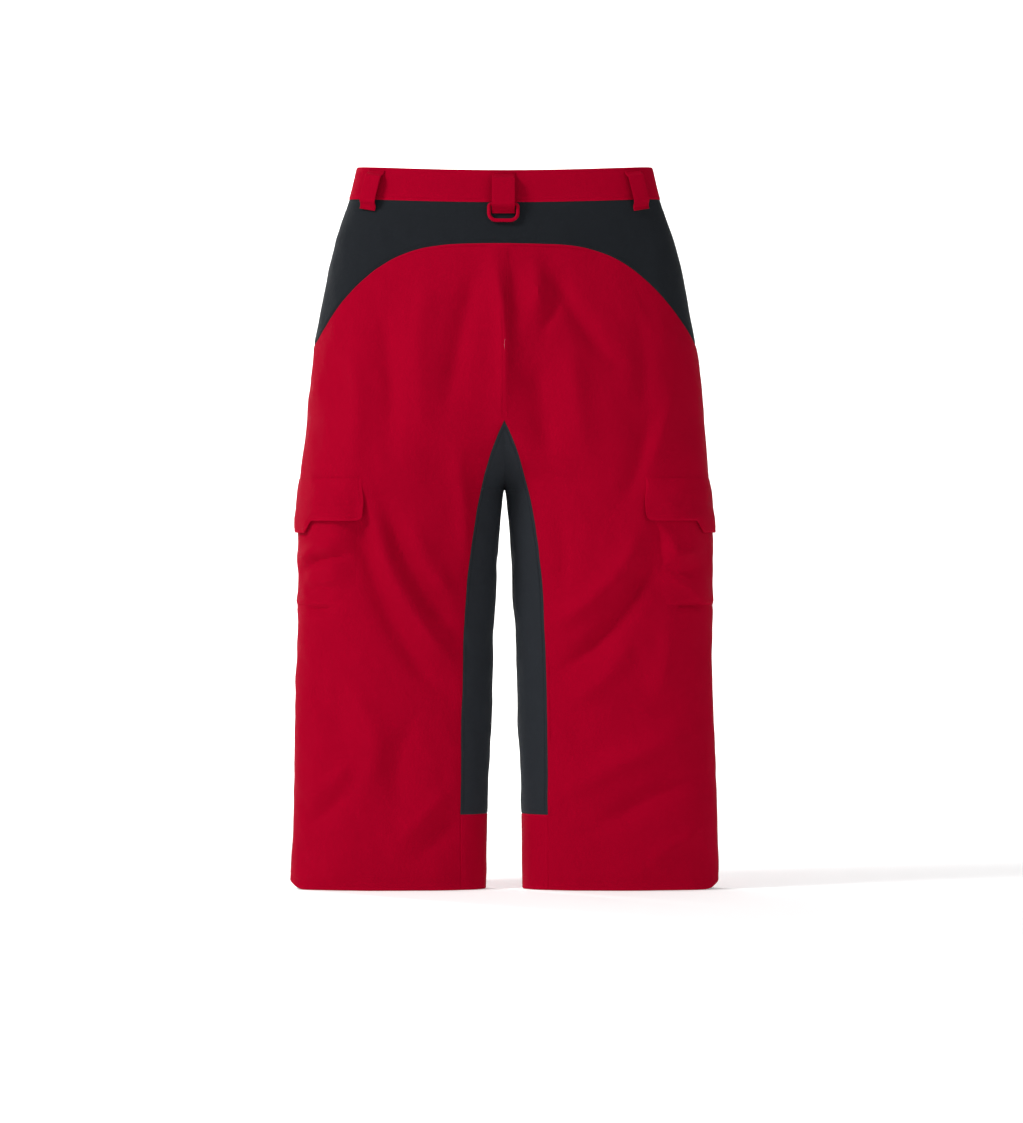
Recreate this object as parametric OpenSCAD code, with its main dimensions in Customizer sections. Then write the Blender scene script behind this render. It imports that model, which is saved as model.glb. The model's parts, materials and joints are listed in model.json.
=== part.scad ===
// Insulated ski pants, held open at the waist. Millimetres.
// +X is the wearer's right, +Y the wearer's front, +Z up; the origin is the waist opening's centre.

/* [Overall] */
// Length from the waist edge to the hem
pants_length = 1008; // [900:1:1150]
// Width across the waist edge
waist_w = 412; // [360:1:480]
// Width across the hips
hip_w = 546; // [490:1:620]
// Width from outer thigh to outer thigh at the crotch
thigh_w = 575; // [510:1:650]
// Width from outer hem to outer hem
hem_w = 600; // [520:1:680]
// Gap between the two hems
hem_gap = 50; // [20:1:90]
// Waist edge to crotch
rise = 451; // [400:1:500]
// Waist edge to the widest part of the hips
hip_drop = 290; // [260:1:320]

/* [Depths] */
// Front to back at the waist
waist_d = 110; // [90:1:140]
// Middle of the body to the seat
seat_d = 100; // [80:1:125]
// Middle of the leg to its front or back at the crotch
thigh_d = 84; // [70:1:100]
// Middle of the leg to its front or back at the knee
knee_d = 64; // [50:1:80]
// Middle of the leg to its front or back at the hem
hem_d = 52; // [42:1:62]

/* [Fabric] */
// Shell fabric with its insulation
shell_t = 2; // [1:0.1:3]
// Lining fabric
lining_t = 1; // [0.6:0.1:1.5]
// Shell's outside to the lining's outside
loft = 6.4; // [5.6:0.1:8]
// Waistband's fabric above the shell's surface
band_proud = 1; // [0.6:0.1:1.6]
// Waistband height
band_h = 45; // [36:1:56]
// Dip of the waist edge at the centre back
dip_back = 8; // [0:1:20]
// Dip of the waist edge at the centre front
dip_front = 14; // [0:1:24]

/* [Panels] */
// Top of the seat panel at the centre back, below the waist edge
arch_top = 111; // [95:1:125]
// Foot of the black yoke at the side seam, below the waist edge
arch_side = 248; // [220:1:256]
// Steepness of the yoke's arch
arch_power = 4.25; // [3:0.05:6]
// Width of each inner leg panel on either side of the inseam
gusset_w = 61.3; // [40:0.1:80]
// Top of the inner leg panels below the waist edge
gusset_top = 356; // [330:1:380]
// Foot of the inner leg panels above the hem
hem_patch_h = 105; // [80:1:140]

/* [Belt loops] */
// Width of the centre loop
centre_loop_w = 32; // [28:0.5:34]
// Width of the other loops
loop_w = 24; // [16:0.5:30]
// Room for a belt behind a loop
loop_room = 7; // [6:0.1:8.5]
// Webbing thickness
webbing_t = 1.6; // [1:0.1:2.4]

/* [D-ring] */
// Width over the ring
ring_w = 45; // [44:0.5:60]
// Hinge line to the outside of the bow
ring_h = 26; // [25:0.5:40]
// Ring wire diameter
ring_wire = 5; // [3.5:0.1:5.2]
// Running clearance of the bar in its keeper, on the radius
ring_clear = 0.08; // [0.04:0.01:0.1]

/* [Cargo pockets] */
// Top of the flap below the waist edge
flap_top = 440; // [425:1:460]
// Flap height at its ends
flap_h = 54; // [44:1:66]
// Flap height at its tab
flap_tab_h = 71; // [60:1:84]
// Foot of the pocket below the waist edge
pocket_foot = 613; // [580:1:660]
// Clear depth of the pocket bag
pocket_room = 7; // [6:0.1:9]

/* [Zips and snaps] */
// Length of the fly zip
fly_l = 172; // [150:1:180]
// Half width of the fly opening
fly_half = 9; // [7:0.5:11]
// Zip coil width
coil_w = 5; // [4:0.1:6]
// Snap cap radius
snap_r = 7.5; // [6:0.1:8.5]
// Spacing of the two snaps
snap_gap = 22; // [18:0.5:26]

/* [Snow gaiters] */
// Gaiter height
gaiter_h = 165; // [120:1:200]
// Elastic height at the gaiter's foot
elastic_h = 22; // [15:1:30]

/* [Hidden] */
$fn = 48;

RED = [0.66, 0.01, 0.15];
BLACK = [0.14, 0.15, 0.17];
GREY = [0.30, 0.31, 0.33];

// One exponent rounds every section; 2 would be an ellipse
round_n = 2.2;
SHARE = 2 / round_n;
leg_l = pants_length - rise;
flare = hip_w / 2 - waist_w / 2;
crotch = -rise;
front_slope = 0.09;
// Gap left between sewn panels
seam = 0.1;
// Depth that the side seam draws in behind the cargo pocket
pocket_dip = pocket_room + 1.5;

// [height, half width] of the outline, from the waist down
OUTLINE = [
  [0, waist_w / 2], [-band_h, waist_w / 2 + 0.17 * flare],
  [-0.345 * hip_drop, waist_w / 2 + 0.44 * flare], [-0.62 * hip_drop, waist_w / 2 + 0.724 * flare],
  [-hip_drop, hip_w / 2], [-0.84 * rise, (hip_w + thigh_w) / 4 + 0.5], [crotch, thigh_w / 2],
  [crotch - 0.16 * leg_l, thigh_w / 2 + 0.24 * (hem_w - thigh_w) / 2],
  [crotch - 0.447 * leg_l, thigh_w / 2 + 0.36 * (hem_w - thigh_w) / 2],
  [crotch - 0.752 * leg_l, thigh_w / 2 + 0.72 * (hem_w - thigh_w) / 2],
  [-pants_length, hem_w / 2]
];
// [height, depth] from the middle to the back
BACK = [
  [0, waist_d / 2], [-band_h, waist_d / 2 + 5], [-0.345 * hip_drop, waist_d / 2 + 17],
  [-0.69 * hip_drop, 0.92 * seat_d], [-hip_drop, seat_d], [-0.86 * rise, 0.5 * (seat_d + thigh_d) + 2],
  [crotch, thigh_d], [crotch - 0.2 * leg_l, 0.5 * (thigh_d + knee_d)], [crotch - 0.45 * leg_l, knee_d],
  [crotch - 0.75 * leg_l, 0.6 * knee_d + 0.4 * hem_d], [-pants_length, hem_d]
];
// [height, depth] from the middle to the front; straight down to the foot of the fly
FRONT = [
  [0, waist_d / 2], [-137, waist_d / 2 + 137 * front_slope], [-240, waist_d / 2 + 240 * front_slope],
  [-0.75 * rise, thigh_d - 4], [crotch, thigh_d - 3], [crotch - 0.2 * leg_l, 0.4 * thigh_d + 0.6 * knee_d],
  [crotch - 0.45 * leg_l, knee_d], [crotch - 0.75 * leg_l, 0.5 * (knee_d + hem_d)], [-pants_length, hem_d]
];

// A smooth curve through stations [height, value], highest first
function station(t, z, i = 0) = (i >= len(t) - 2 || z >= t[i + 1][0]) ? i : station(t, z, i + 1);
function rate(t, i) =
  let (a = max(i - 1, 0), b = min(i + 1, len(t) - 1)) (t[b][1] - t[a][1]) / (t[b][0] - t[a][0]);
function curve(t, z) =
  let (i = station(t, z), h = t[i + 1][0] - t[i][0], s = (z - t[i][0]) / h)
  t[i][1] * (1 + 2 * s) * (1 - s) ^ 2 + h * rate(t, i) * s * (1 - s) ^ 2
  + t[i + 1][1] * s ^ 2 * (3 - 2 * s) - h * rate(t, i + 1) * s ^ 2 * (1 - s);
function ease(s) = let (u = min(max(s, 0), 1)) u * u * (3 - 2 * u);

// Outline less the hollow behind the cargo pocket
function outer(z) = curve(OUTLINE, z)
  - pocket_dip * ease((-z - flap_top + 40) / 40) * ease((pocket_foot + 40 + z) / 40);
// Inner edge of a leg below the crotch
function inner(z) = z >= crotch ? 0 : hem_gap / 2 * ((crotch - z) / leg_l) ^ 0.6;
// Middle of each half's section: on the centre line at the hips, in the leg below the crotch
legs_from = 230;
function middle(z) = z < crotch ? (outer(z) + inner(z)) / 2
  : outer(z) / 2 * max(0, (-z - legs_from) / (rise - legs_from)) ^ 2;
function half_w(z) = outer(z) - middle(z);
function depth(face, z) = face < 0 ? curve(BACK, z) : curve(FRONT, z);

// A point of the shell: face is -1 at the back and 1 at the front, and the turn runs from 0 at the
// side seam to 180 at the inseam. Powers of sine and cosine make the section a rounded oval.
function bend(v) = sign(v) * abs(v) ^ SHARE;
function skin(face, turn, z) =
  [middle(z) + half_w(z) * bend(cos(turn)), face * depth(face, z) * bend(sin(turn)), z];
function unit(v) = v / norm(v);
// Outward normal, from the directions along and down the surface
function outward(face, turn, z) =
  let (t = min(max(turn, 3), 177),
       along = turn < 3 ? [0, 1, 0] : turn > 177 ? [0, -1, 0]
         : face * (skin(face, t + 2, z) - skin(face, t - 2, z)),
       down = skin(face, turn, z + 1.5) - skin(face, turn, z - 1.5))
  unit(cross(along, down));
// A point at a distance outside the shell's surface
function at(face, turn, z, off) = skin(face, turn, z) + off * outward(face, turn, z);
// The turn at which the section is at a distance x from the middle of the body
function turn_at(x, z) =
  let (u = min(max((x - middle(z)) / half_w(z), -1), 1)) acos(sign(u) * abs(u) ^ (1 / SHARE));
// The share of the half width at a turn, which the sloping seams at the hips follow
function share(turn) = bend(max(cos(turn), 0));
function arch(turn) = -arch_top - (arch_side - arch_top) * share(turn) ^ arch_power;
function dip(face, turn) = (face < 0 ? dip_back : dip_front) * (1 - share(turn) ^ 2);
// Half width at the very top of the inner leg panels
gusset_tip = 0.8;
function gusset_edge(z) = gusset_w * (1 - exp(-max(0, -gusset_top - z) / 123));

// Quads as pairs of triangles, turned to face outwards
function halves(quads) = [for (q = quads) each [[q[0], q[2], q[1]], [q[0], q[3], q[2]]]];
// A closed solid between two grids of points with the same rows and columns
module wall(out, in, loop = false) {
  r = len(out);
  c = len(out[0]);
  n = r * c;
  e = loop ? c - 1 : c - 2;
  function f(i, j) = i * c + j % c;
  function g(i, j) = n + i * c + j % c;
  quads = concat(
    [for (i = [0:r - 2], j = [0:e]) [f(i, j), f(i, j + 1), f(i + 1, j + 1), f(i + 1, j)]],
    [for (i = [0:r - 2], j = [0:e]) [g(i + 1, j), g(i + 1, j + 1), g(i, j + 1), g(i, j)]],
    [for (j = [0:e]) [g(0, j), g(0, j + 1), f(0, j + 1), f(0, j)]],
    [for (j = [0:e]) [f(r - 1, j), f(r - 1, j + 1), g(r - 1, j + 1), g(r - 1, j)]],
    loop ? [] : [for (i = [0:r - 2]) [f(i, 0), f(i + 1, 0), g(i + 1, 0), g(i, 0)]],
    loop ? [] : [for (i = [0:r - 2]) [g(i, c - 1), g(i + 1, c - 1), f(i + 1, c - 1), f(i, c - 1)]]);
  polyhedron(points = concat([for (row = out) each row], [for (row = in) each row]), faces = halves(quads));
}

// A piece of the shell over a grid of [turn, height], from its outside at off to its inside at off - t
module cloth(face, grid, off, t) {
  out = [for (row = grid) [for (p = row) at(face, p[0], p[1], off)]];
  in = [for (row = grid) [for (p = row) at(face, p[0], p[1], off - t)]];
  if (face < 0) wall(out, in);
  else wall([for (row = out) flip(row)], [for (row = in) flip(row)]);
}
function flip(v) = [for (i = [len(v) - 1:-1:0]) v[i]];
module side_of(s) {
  mirror([s < 0 ? 1 : 0, 0, 0]) children();
}
function mix(a, b, s) = a + (b - a) * s;

// Heights of the rows below the hips, which neighbouring panels share
ROWS = [
  -270, -312, -gusset_top, -gusset_top - 18, -gusset_top - 40, crotch + 33, crotch + 17, crotch + 6,
  crotch, crotch - 7, crotch - 24, crotch - 54, -545, -582, -pocket_foot, -pocket_foot - 40, -720, -800,
  -pants_length + hem_patch_h + 45, -pants_length + hem_patch_h, -pants_length + hem_patch_h / 2,
  -pants_length + 12, -pants_length];
// Where a back or front panel meets the centre seam or the inner leg panel
function inner_turn(z) = z > -gusset_top
  ? turn_at(seam, z) : turn_at(max(gusset_edge(z), gusset_tip), z);
// Rounded outer corner of the hem
function hem_lift(turn) = 10 * ease(1 - turn / 34);
function foot(turn, z) = z < -pants_length + 1 ? z + hem_lift(turn) : z;

/* ---------- Waistband ---------- */
band_steps = 9;
function band_grid(face, from, to, top, low) = [for (k = [0, 0.5, 1]) [for (j = [0:band_steps])
  let (turn = mix(from, to, j / band_steps)) [turn, -dip(face, turn) - mix(top, low, k)]]];
// Points all the way across the back, from the right side seam to the left
function across(grid, face, off) = [for (row = grid) concat(
  [for (p = row) at(face, p[0], p[1], off)],
  [for (i = [len(row) - 2:-1:0]) let (q = at(face, row[i][0], row[i][1], off)) [-q[0], q[1], q[2]]])];

module waistband_back() {
  grid = band_grid(-1, 0, 90, 0, band_h - seam);
  color(RED) wall(across(grid, -1, band_proud), across(grid, -1, band_proud - shell_t - 1));
}
module waistband_front(s) {
  grid = band_grid(1, 0.1, turn_at(0.3, -band_h / 2), 0, band_h - seam);
  color(RED) side_of(s) cloth(1, grid, band_proud, shell_t + 1);
}
module waistband_facing() {
  off = band_proud - shell_t - 1.2;
  back = band_grid(-1, 0, 90, 1, band_h - 1);
  front = band_grid(1, 0.2, turn_at(1, -band_h / 2), 1, band_h - 1);
  color(BLACK) {
    wall(across(back, -1, off), across(back, -1, off - lining_t));
    for (s = [-1, 1]) side_of(s) cloth(1, front, off, lining_t);
  }
}

/* ---------- Belt loops and D-ring ---------- */
// A frame on the surface: its origin, then across, outward and up
function tilt(face, turn, z1, z2, off) =
  let (p = at(face, turn, z1, off), q = at(face, turn, z2, off), up = unit(p - q),
       n = outward(face, turn, (z1 + z2) / 2), out = unit(n - (n * up) * up), x = cross(out, up))
  [q, x, out, up];
module on_frame(f) {
  multmatrix([[f[1][0], f[2][0], f[3][0], f[0][0]], [f[1][1], f[2][1], f[3][1], f[0][1]],
              [f[1][2], f[2][2], f[3][2], f[0][2]], [0, 0, 0, 1]]) children();
}
// Webbing loop on a frame at its foot: two sewn feet and a band that stands off by the room
module loop_strap(w, h, room, x = 0) {
  foot_h = 6;
  t = webbing_t;
  translate([x - w / 2, 0, 0]) rotate([90, 0, 90]) linear_extrude(w) polygon([
    [0, 0], [0, foot_h], [room, foot_h + 4], [room, h - foot_h - 4], [0, h - foot_h], [0, h],
    [t, h], [room + t, h - foot_h + 1], [room + t, foot_h - 1], [t, 0]]);
}
loop_turn_back = 33;
loop_turn_front = 70;
loop_foot = 60;
module belt_loop(face, s, turn) {
  f = tilt(face, turn, -dip(face, turn) - 3, -dip(face, turn) - loop_foot, band_proud + 0.6);
  color(RED) side_of(s) on_frame(f) loop_strap(loop_w, norm(at(face, turn, -3, 0) - at(face, turn, -loop_foot, 0)),
                                loop_room);
}
// The ring's hinge line stands off the yoke by the keeper's wall
keeper_wall = 1.5;
ring_z = -57;
ring_top = 4;
ring_off = ring_wire / 2 + ring_clear + keeper_wall + 0.5;
ring_x = -1.5;
centre_foot = -69.5;
ring_frame = tilt(-1, 90, ring_z, ring_z - 30, ring_off);
ring_pin = at(-1, 90, ring_z, ring_off);
centre_room = ring_off + ring_wire / 2 + ring_clear + keeper_wall + 0.9;
module belt_loop_centre() {
  f = tilt(-1, 90, -dip_back - 3, centre_foot, band_proud + 0.4);
  color(RED) on_frame(f) loop_strap(centre_loop_w, norm(at(-1, 90, -dip_back - 3, 0) - at(-1, 90, centre_foot, 0)),
                         centre_room, -ring_x);
}
module at_ring() {
  on_frame([ring_pin + [ring_x, 0, 0], ring_frame[1], ring_frame[2], ring_frame[3]]) children();
}
module ring_keeper() {
  r = ring_wire / 2 + ring_clear;
  w = ring_w - ring_wire - 2 * ring_top - 0.4;
  color(RED) at_ring() difference() {
    union() {
      rotate([0, 90, 0]) cylinder(r = r + keeper_wall, h = w, center = true);
      translate([-w / 2, -ring_off + 0.5, -r]) cube([w, ring_off - 0.5, r + 2]);
    }
    rotate([0, 90, 0]) cylinder(r = r, h = w + 2, center = true);
  }
}
module d_ring() {
  wire = ring_wire / 2;
  x = ring_w / 2 - wire;
  low = ring_h - wire;
  corner = 8;
  top = ring_top;
  color(RED) at_ring() {
    rotate([0, 90, 0]) cylinder(r = wire, h = 2 * (x - top), center = true);
    translate([0, 0, -low]) rotate([0, 90, 0]) cylinder(r = wire, h = 2 * (x - corner), center = true);
    for (s = [-1, 1]) mirror([s < 0 ? 1 : 0, 0, 0]) {
      translate([x, 0, -low + corner]) cylinder(r = wire, h = low - corner - top);
      translate([x - corner, 0, -low + corner]) rotate([90, 0, 0]) rotate([0, 0, -90])
        rotate_extrude(angle = 90) translate([corner, 0]) circle(r = wire);
      translate([x - top, 0, -top]) rotate([90, 0, 0])
        rotate_extrude(angle = 90) translate([top, 0]) circle(r = wire);
    }
  }
}

/* ---------- Shell panels ---------- */
panel_cols = 8;
module back_yoke() {
  grid = [for (k = [0:3]) [for (j = [0:panel_cols])
    let (turn = 90 * j / panel_cols)
    [turn, mix(-dip(-1, turn) - band_h - seam, arch(turn) + seam, k / 3)]]];
  color(BLACK) wall(across(grid, -1, 0), across(grid, -1, -shell_t));
}
// The hand pocket's zip runs down the seam between these two turns
zip_low_turn = 49;
zip_top_turn = 60;
hip_foot = -228;
function hip_edge(turn) = mix(-arch_side, hip_foot, turn / zip_low_turn);
module hip_panel(s) {
  grid = [for (k = [0:3]) [for (j = [0:5])
    let (top = mix(0.1, zip_top_turn - 0.4, j / 5), low = mix(0.1, zip_low_turn - 0.4, j / 5),
         turn = mix(top, low, k / 3))
    [turn, mix(-dip(1, top) - band_h - seam, hip_edge(low) + seam, k / 3)]]];
  color(BLACK) side_of(s) cloth(1, grid, 0, shell_t);
}
module back_panel(s) {
  arch_rows = [for (k = [0:2]) [for (j = [0:panel_cols])
    let (turn = j == panel_cols ? turn_at(seam, -arch_top) : 90 * j / panel_cols)
    [turn, mix(arch(turn), ROWS[0], k / 3)]]];
  rows = [for (z = ROWS) [for (j = [0:panel_cols])
    let (turn = inner_turn(z) * j / panel_cols) [turn, foot(turn, z)]]];
  color(RED) side_of(s) cloth(-1, concat(arch_rows, rows), 0, shell_t);
}
fly_foot = -band_h - dip_front - fly_l - 4;
front_turns = [0.1, 12, 25, 37, zip_low_turn, zip_top_turn, 74, 90];
module front_panel(s) {
  c = len(front_turns) - 1;
  top = [for (t = front_turns) t < zip_low_turn + 1 ? hip_edge(t) : -dip(1, t) - band_h - seam];
  // The front edge leaves room for the fly, and closes below it
  upper = [for (k = [0:4]) [for (j = [0:c])
    let (z = j == c ? [top[c], mix(top[c], fly_foot, 0.5), fly_foot, fly_foot - 14, -256][k]
                    : mix(top[j], ROWS[0], k / 5),
         turn = j < c ? front_turns[j] : turn_at(k < 3 ? fly_half : seam, z))
    [turn, z]]];
  rows = [for (z = ROWS) [for (j = [0:c])
    let (turn = mix(front_turns[j] / 90, j / c, ease((-z - 270) / 200)) * inner_turn(z))
    [turn, foot(turn, z)]]];
  color(RED) side_of(s) cloth(1, concat(upper, rows), 0, shell_t);
}

/* ---------- Inner leg ---------- */
// Columns run from the back seam round the inseam to the front seam; above the crotch the two
// halves of each row part at the centre line
strip_cols = 4;
function strip_row(z, off, edge) = concat(
  [for (j = [0:strip_cols]) at(-1, mix(turn_at(edge, z), turn_at(0, z), j / strip_cols), z, off)],
  [for (j = [strip_cols:-1:0]) at(1, mix(turn_at(edge, z), turn_at(0, z), j / strip_cols), z, off)]);
module strip(rows, off, t, edges) {
  c = 2 * strip_cols + 2;
  r = len(rows);
  n = r * c;
  mid = strip_cols;
  fork = [for (i = [0:r - 1]) if (rows[i] > crotch) i];
  out = [for (i = [0:r - 1]) each strip_row(rows[i], off, edges[i])];
  in = [for (i = [0:r - 1]) each strip_row(rows[i], off - t, edges[i])];
  cols = [for (j = [0:c - 2]) if (j != mid) j];
  function f(i, j) = i * c + j;
  function g(i, j) = n + i * c + j;
  quads = concat(
    [for (i = [0:r - 2], j = cols) [f(i, j), f(i, j + 1), f(i + 1, j + 1), f(i + 1, j)]],
    [for (i = [0:r - 2], j = cols) [g(i + 1, j), g(i + 1, j + 1), g(i, j + 1), g(i, j)]],
    [for (j = cols) [g(0, j), g(0, j + 1), f(0, j + 1), f(0, j)]],
    [for (j = cols) [f(r - 1, j), f(r - 1, j + 1), g(r - 1, j + 1), g(r - 1, j)]],
    [for (i = [0:r - 2]) [f(i, 0), f(i + 1, 0), g(i + 1, 0), g(i, 0)]],
    [for (i = [0:r - 2]) [g(i, c - 1), g(i + 1, c - 1), f(i + 1, c - 1), f(i, c - 1)]],
    [for (i = fork) [g(i, mid), g(i + 1, mid), f(i + 1, mid), f(i, mid)]],
    [for (i = fork) [f(i, mid + 1), f(i + 1, mid + 1), g(i + 1, mid + 1), g(i, mid + 1)]]);
  polyhedron(points = concat(out, in), faces = halves(quads));
}
module inner_gusset(s) {
  rows = [for (z = ROWS) if (z <= -gusset_top && z >= -pants_length + hem_patch_h) z];
  edges = [for (z = rows) max(gusset_edge(z), gusset_tip)];
  color(BLACK) side_of(s) strip(rows, 0, shell_t, edges);
}
module hem_patch(s) {
  rows = [for (z = ROWS) if (z <= -pants_length + hem_patch_h) z < -pants_length + hem_patch_h ? z : z - 2 * seam];
  color(RED) side_of(s) strip(rows, 0, shell_t, [for (z = rows) gusset_edge(z)]);
}

/* ---------- Lining and snow gaiters ---------- */
lining_cols = 10;
lining_foot = -pants_length + 14;
module lining(s) {
  rows = concat([-band_h - 9, -110, -180, -236, -252], [for (z = ROWS) if (z < -280 && z > lining_foot) z],
                [lining_foot]);
  function ends(z, face) = z < crotch - 1 ? 179.7 : turn_at(face > 0 && z > -245 ? 22 : 1.2, z);
  function ring(z, off) = concat(
    [for (j = [lining_cols:-1:1]) at(1, ends(z, 1) * j / lining_cols, z, off)],
    [for (j = [0:lining_cols]) at(-1, ends(z, -1) * j / lining_cols, z, off)]);
  color(BLACK) side_of(s) wall([for (z = rows) ring(z - (z > -60 ? dip_front : 0), -loft)],
                               [for (z = rows) ring(z - (z > -60 ? dip_front : 0), -loft - lining_t)]);
}
// A closed ring inside a leg, at an even inset from the shell
ring_cols = 12;
function leg_ring(z, inset) = [for (j = [0:2 * ring_cols - 1])
  let (face = j < ring_cols ? 1 : -1, turn = j < ring_cols ? 180 - 180 * j / ring_cols : 180 * j / ring_cols - 180)
  [middle(z) + (half_w(z) - inset) * bend(cos(turn)), face * (depth(face, z) - inset) * bend(sin(turn)), z]];
gaiter_foot = -pants_length + 20;
gaiter_inset = loft + lining_t + 4;
gaiter_gather = 6;
module gaiter(s) {
  steps = [[gaiter_h, 0], [gaiter_h * 0.55, 3], [elastic_h + 14, 4], [elastic_h + 0.2, gaiter_gather]];
  color(GREY) side_of(s) wall([for (k = steps) leg_ring(gaiter_foot + k[0], gaiter_inset + k[1])],
                              [for (k = steps) leg_ring(gaiter_foot + k[0], gaiter_inset + k[1] + lining_t)], true);
}
module gaiter_elastic(s) {
  inset = gaiter_inset + gaiter_gather;
  color(BLACK) side_of(s) wall([for (k = [elastic_h, 0]) leg_ring(gaiter_foot + k, inset)],
                               [for (k = [elastic_h, 0]) leg_ring(gaiter_foot + k, inset + 1.6)], true);
}
module lace_hook(s) {
  w = 12;
  y = depth(1, gaiter_foot + elastic_h) - gaiter_inset - gaiter_gather + 0.6;
  color(GREY) side_of(s) translate([middle(gaiter_foot) - w / 2, y, gaiter_foot - 10])
    rotate([90, 0, 90]) linear_extrude(w)
      polygon([[0, 24], [0, 1.2], [-3.8, 1.2], [-3.8, 6], [-5, 6], [-5, 0], [1.2, 0], [1.2, 24]]);
}

/* ---------- Cargo pockets ---------- */
// Turns past the side seam to the front are negative here
function wrap_at(turn, z, off) = turn < 0 ? at(1, -turn, z, off) : at(-1, turn, z, off);
module wrap(grid, off, t) {
  wall([for (row = grid) [for (p = row) wrap_at(p[0], p[1], off)]],
       [for (row = grid) [for (p = row) wrap_at(p[0], p[1], off - t)]]);
}
pocket_from = -40;
pocket_to = 69;
POCKET_TURNS = [-34, -27, -20, -12, -6, 0, 6, 12, 18, 25, 30, 35, 42, 49, 56, 63];
function turns(edge) = concat([pocket_from + edge], POCKET_TURNS, [pocket_to - edge]);
// The pocket's and flap's inner faces clear the panels under them
pocket_gap = 0.8;
pocket_wall = 1.2;
flap_t = 1.4;
mouth = -flap_top - 22;
tape_t = 0.5;
tape_gap = 0.2;
pocket_off = pocket_gap + pocket_room + pocket_wall;
flap_off = pocket_off + 2 * tape_t + 3 * tape_gap + 0.1 + flap_t;
function spread(from, to, n) = [for (j = [0:n]) mix(from, to, j / n)];
module cargo_pocket(s) {
  foot_z = -pocket_foot;
  edge = 0.8;
  color(RED) side_of(s) difference() {
    wrap([for (z = spread(mouth, foot_z, 5)) [for (t = turns(0)) [t, z]]], pocket_off, pocket_off - pocket_gap);
    wrap([for (z = spread(mouth + 3, foot_z + 2, 5)) [for (t = turns(edge)) [t, z]]],
         pocket_off - pocket_wall, pocket_off);
  }
}
// Height of the flap's lower edge: level at the ends, with a notched tab in the middle
tab_turns = [-20, -12, 25, 35];
function flap_foot(turn) = -flap_top - mix(flap_h, flap_tab_h,
  min(max(0, min((turn - tab_turns[0]) / (tab_turns[1] - tab_turns[0]),
                 (tab_turns[3] - turn) / (tab_turns[3] - tab_turns[2]))), 1));
module cargo_flap(s) {
  grid = [for (k = [0, 0.2, 0.6, 1]) [for (t = turns(-1)) [t, mix(-flap_top, flap_foot(t), k)]]];
  color(RED) side_of(s) wrap(grid, flap_off, flap_t);
}
// The stitched fold that the flap hangs from
root_h = 4;
module flap_root(s) {
  color(RED) side_of(s) wrap([for (z = [-flap_top + root_h + 0.4, -flap_top + 0.4]) [for (t = turns(-1)) [t, z]]],
                             flap_off, flap_off - pocket_gap);
}
flap_tape_top = 482;
module tape_patch(s, off) {
  color(BLACK) side_of(s)
    wrap([for (z = [-flap_tape_top, -flap_tape_top - 18]) [for (t = POCKET_TURNS) if (abs(t - 6) < 13) [t, z]]],
         off, tape_t);
}

/* ---------- Zips ---------- */
// Zip parts stand in a frame at the zip's foot: x across, y outwards, z up the teeth
coil_t = 2;
slide_gap = 0.3;
slider_l = 12;
slider_wall = 1.5;
pin_r = 0.8;
pull_clear = 0.06;
pull_l = 30;
module zip_tapes(l, low, y) {
  for (s = [-1, 1]) mirror([s < 0 ? 1 : 0, 0, 0]) translate([0.6, y, low]) cube([coil_w / 2 + 6, 0.8, l - low]);
}
module zip_coil(l, y) {
  h = coil_w / 2;
  translate([0, y, 0]) linear_extrude(l)
    polygon([[-h, 0], [-h, coil_t * 0.5], [-h + 0.8, coil_t], [-0.3, coil_t], [0, coil_t - 0.4], [0.3, coil_t],
             [h - 0.8, coil_t], [h, coil_t * 0.5], [h, 0]]);
}
module zip_stops(l, y) {
  for (s = [-1, 1]) translate([s > 0 ? 0.5 : -3, y, l + 0.3]) cube([2.5, coil_t + 0.5, 3]);
  translate([-3, y, -4.3]) cube([6, coil_t + 0.5, 4]);
}
// Saddle over the coil with two lugs and the pull's pin; its head is at the top of the coil
function pin_z(l) = l - slider_l / 2;
function pin_y(y) = y + coil_t + slide_gap + slider_wall + pin_r + 1.2;
module zip_slider(l, y) {
  out = coil_w / 2 + slide_gap + slider_wall;
  top = y + coil_t + slide_gap;
  translate([0, 0, l - slider_l]) {
    translate([-out, top, 0]) cube([2 * out, slider_wall, slider_l]);
    for (s = [-1, 1]) translate([s > 0 ? out - slider_wall : -out, y + 0.3, 0])
      cube([slider_wall, top - y, slider_l]);
  }
  for (s = [-1, 1]) translate([s > 0 ? 1.7 : -2.9, top + slider_wall - 0.2, pin_z(l) - 2]) cube([1.2, 4, 4]);
  translate([-2.5, pin_y(y), pin_z(l)]) rotate([0, 90, 0]) cylinder(r = pin_r, h = 5);
}
module zip_pull(l, y) {
  t = 1.5;
  translate([0, pin_y(y), pin_z(l)]) difference() {
    union() {
      translate([-1.4, 0, 0]) rotate([0, 90, 0]) cylinder(r = 1.7, h = 2.8);
      translate([-1.4, -t / 2, -10]) cube([2.8, t, 10]);
      translate([-4, -t / 2, -pull_l + 4]) cube([8, t, pull_l - 13]);
      translate([0, t / 2, -pull_l + 4]) rotate([90, 0, 0]) cylinder(r = 4, h = t);
    }
    translate([-3, 0, 0]) rotate([0, 90, 0]) cylinder(r = pin_r + pull_clear, h = 6);
  }
}
fly_top = -band_h - dip_front - 4;
fly_frame = tilt(1, 90, fly_top, fly_top - fly_l + 4, 0);
fly_len = norm(at(1, 90, fly_top, 0) - at(1, 90, fly_top - fly_l + 4, 0)) - 4;
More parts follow.
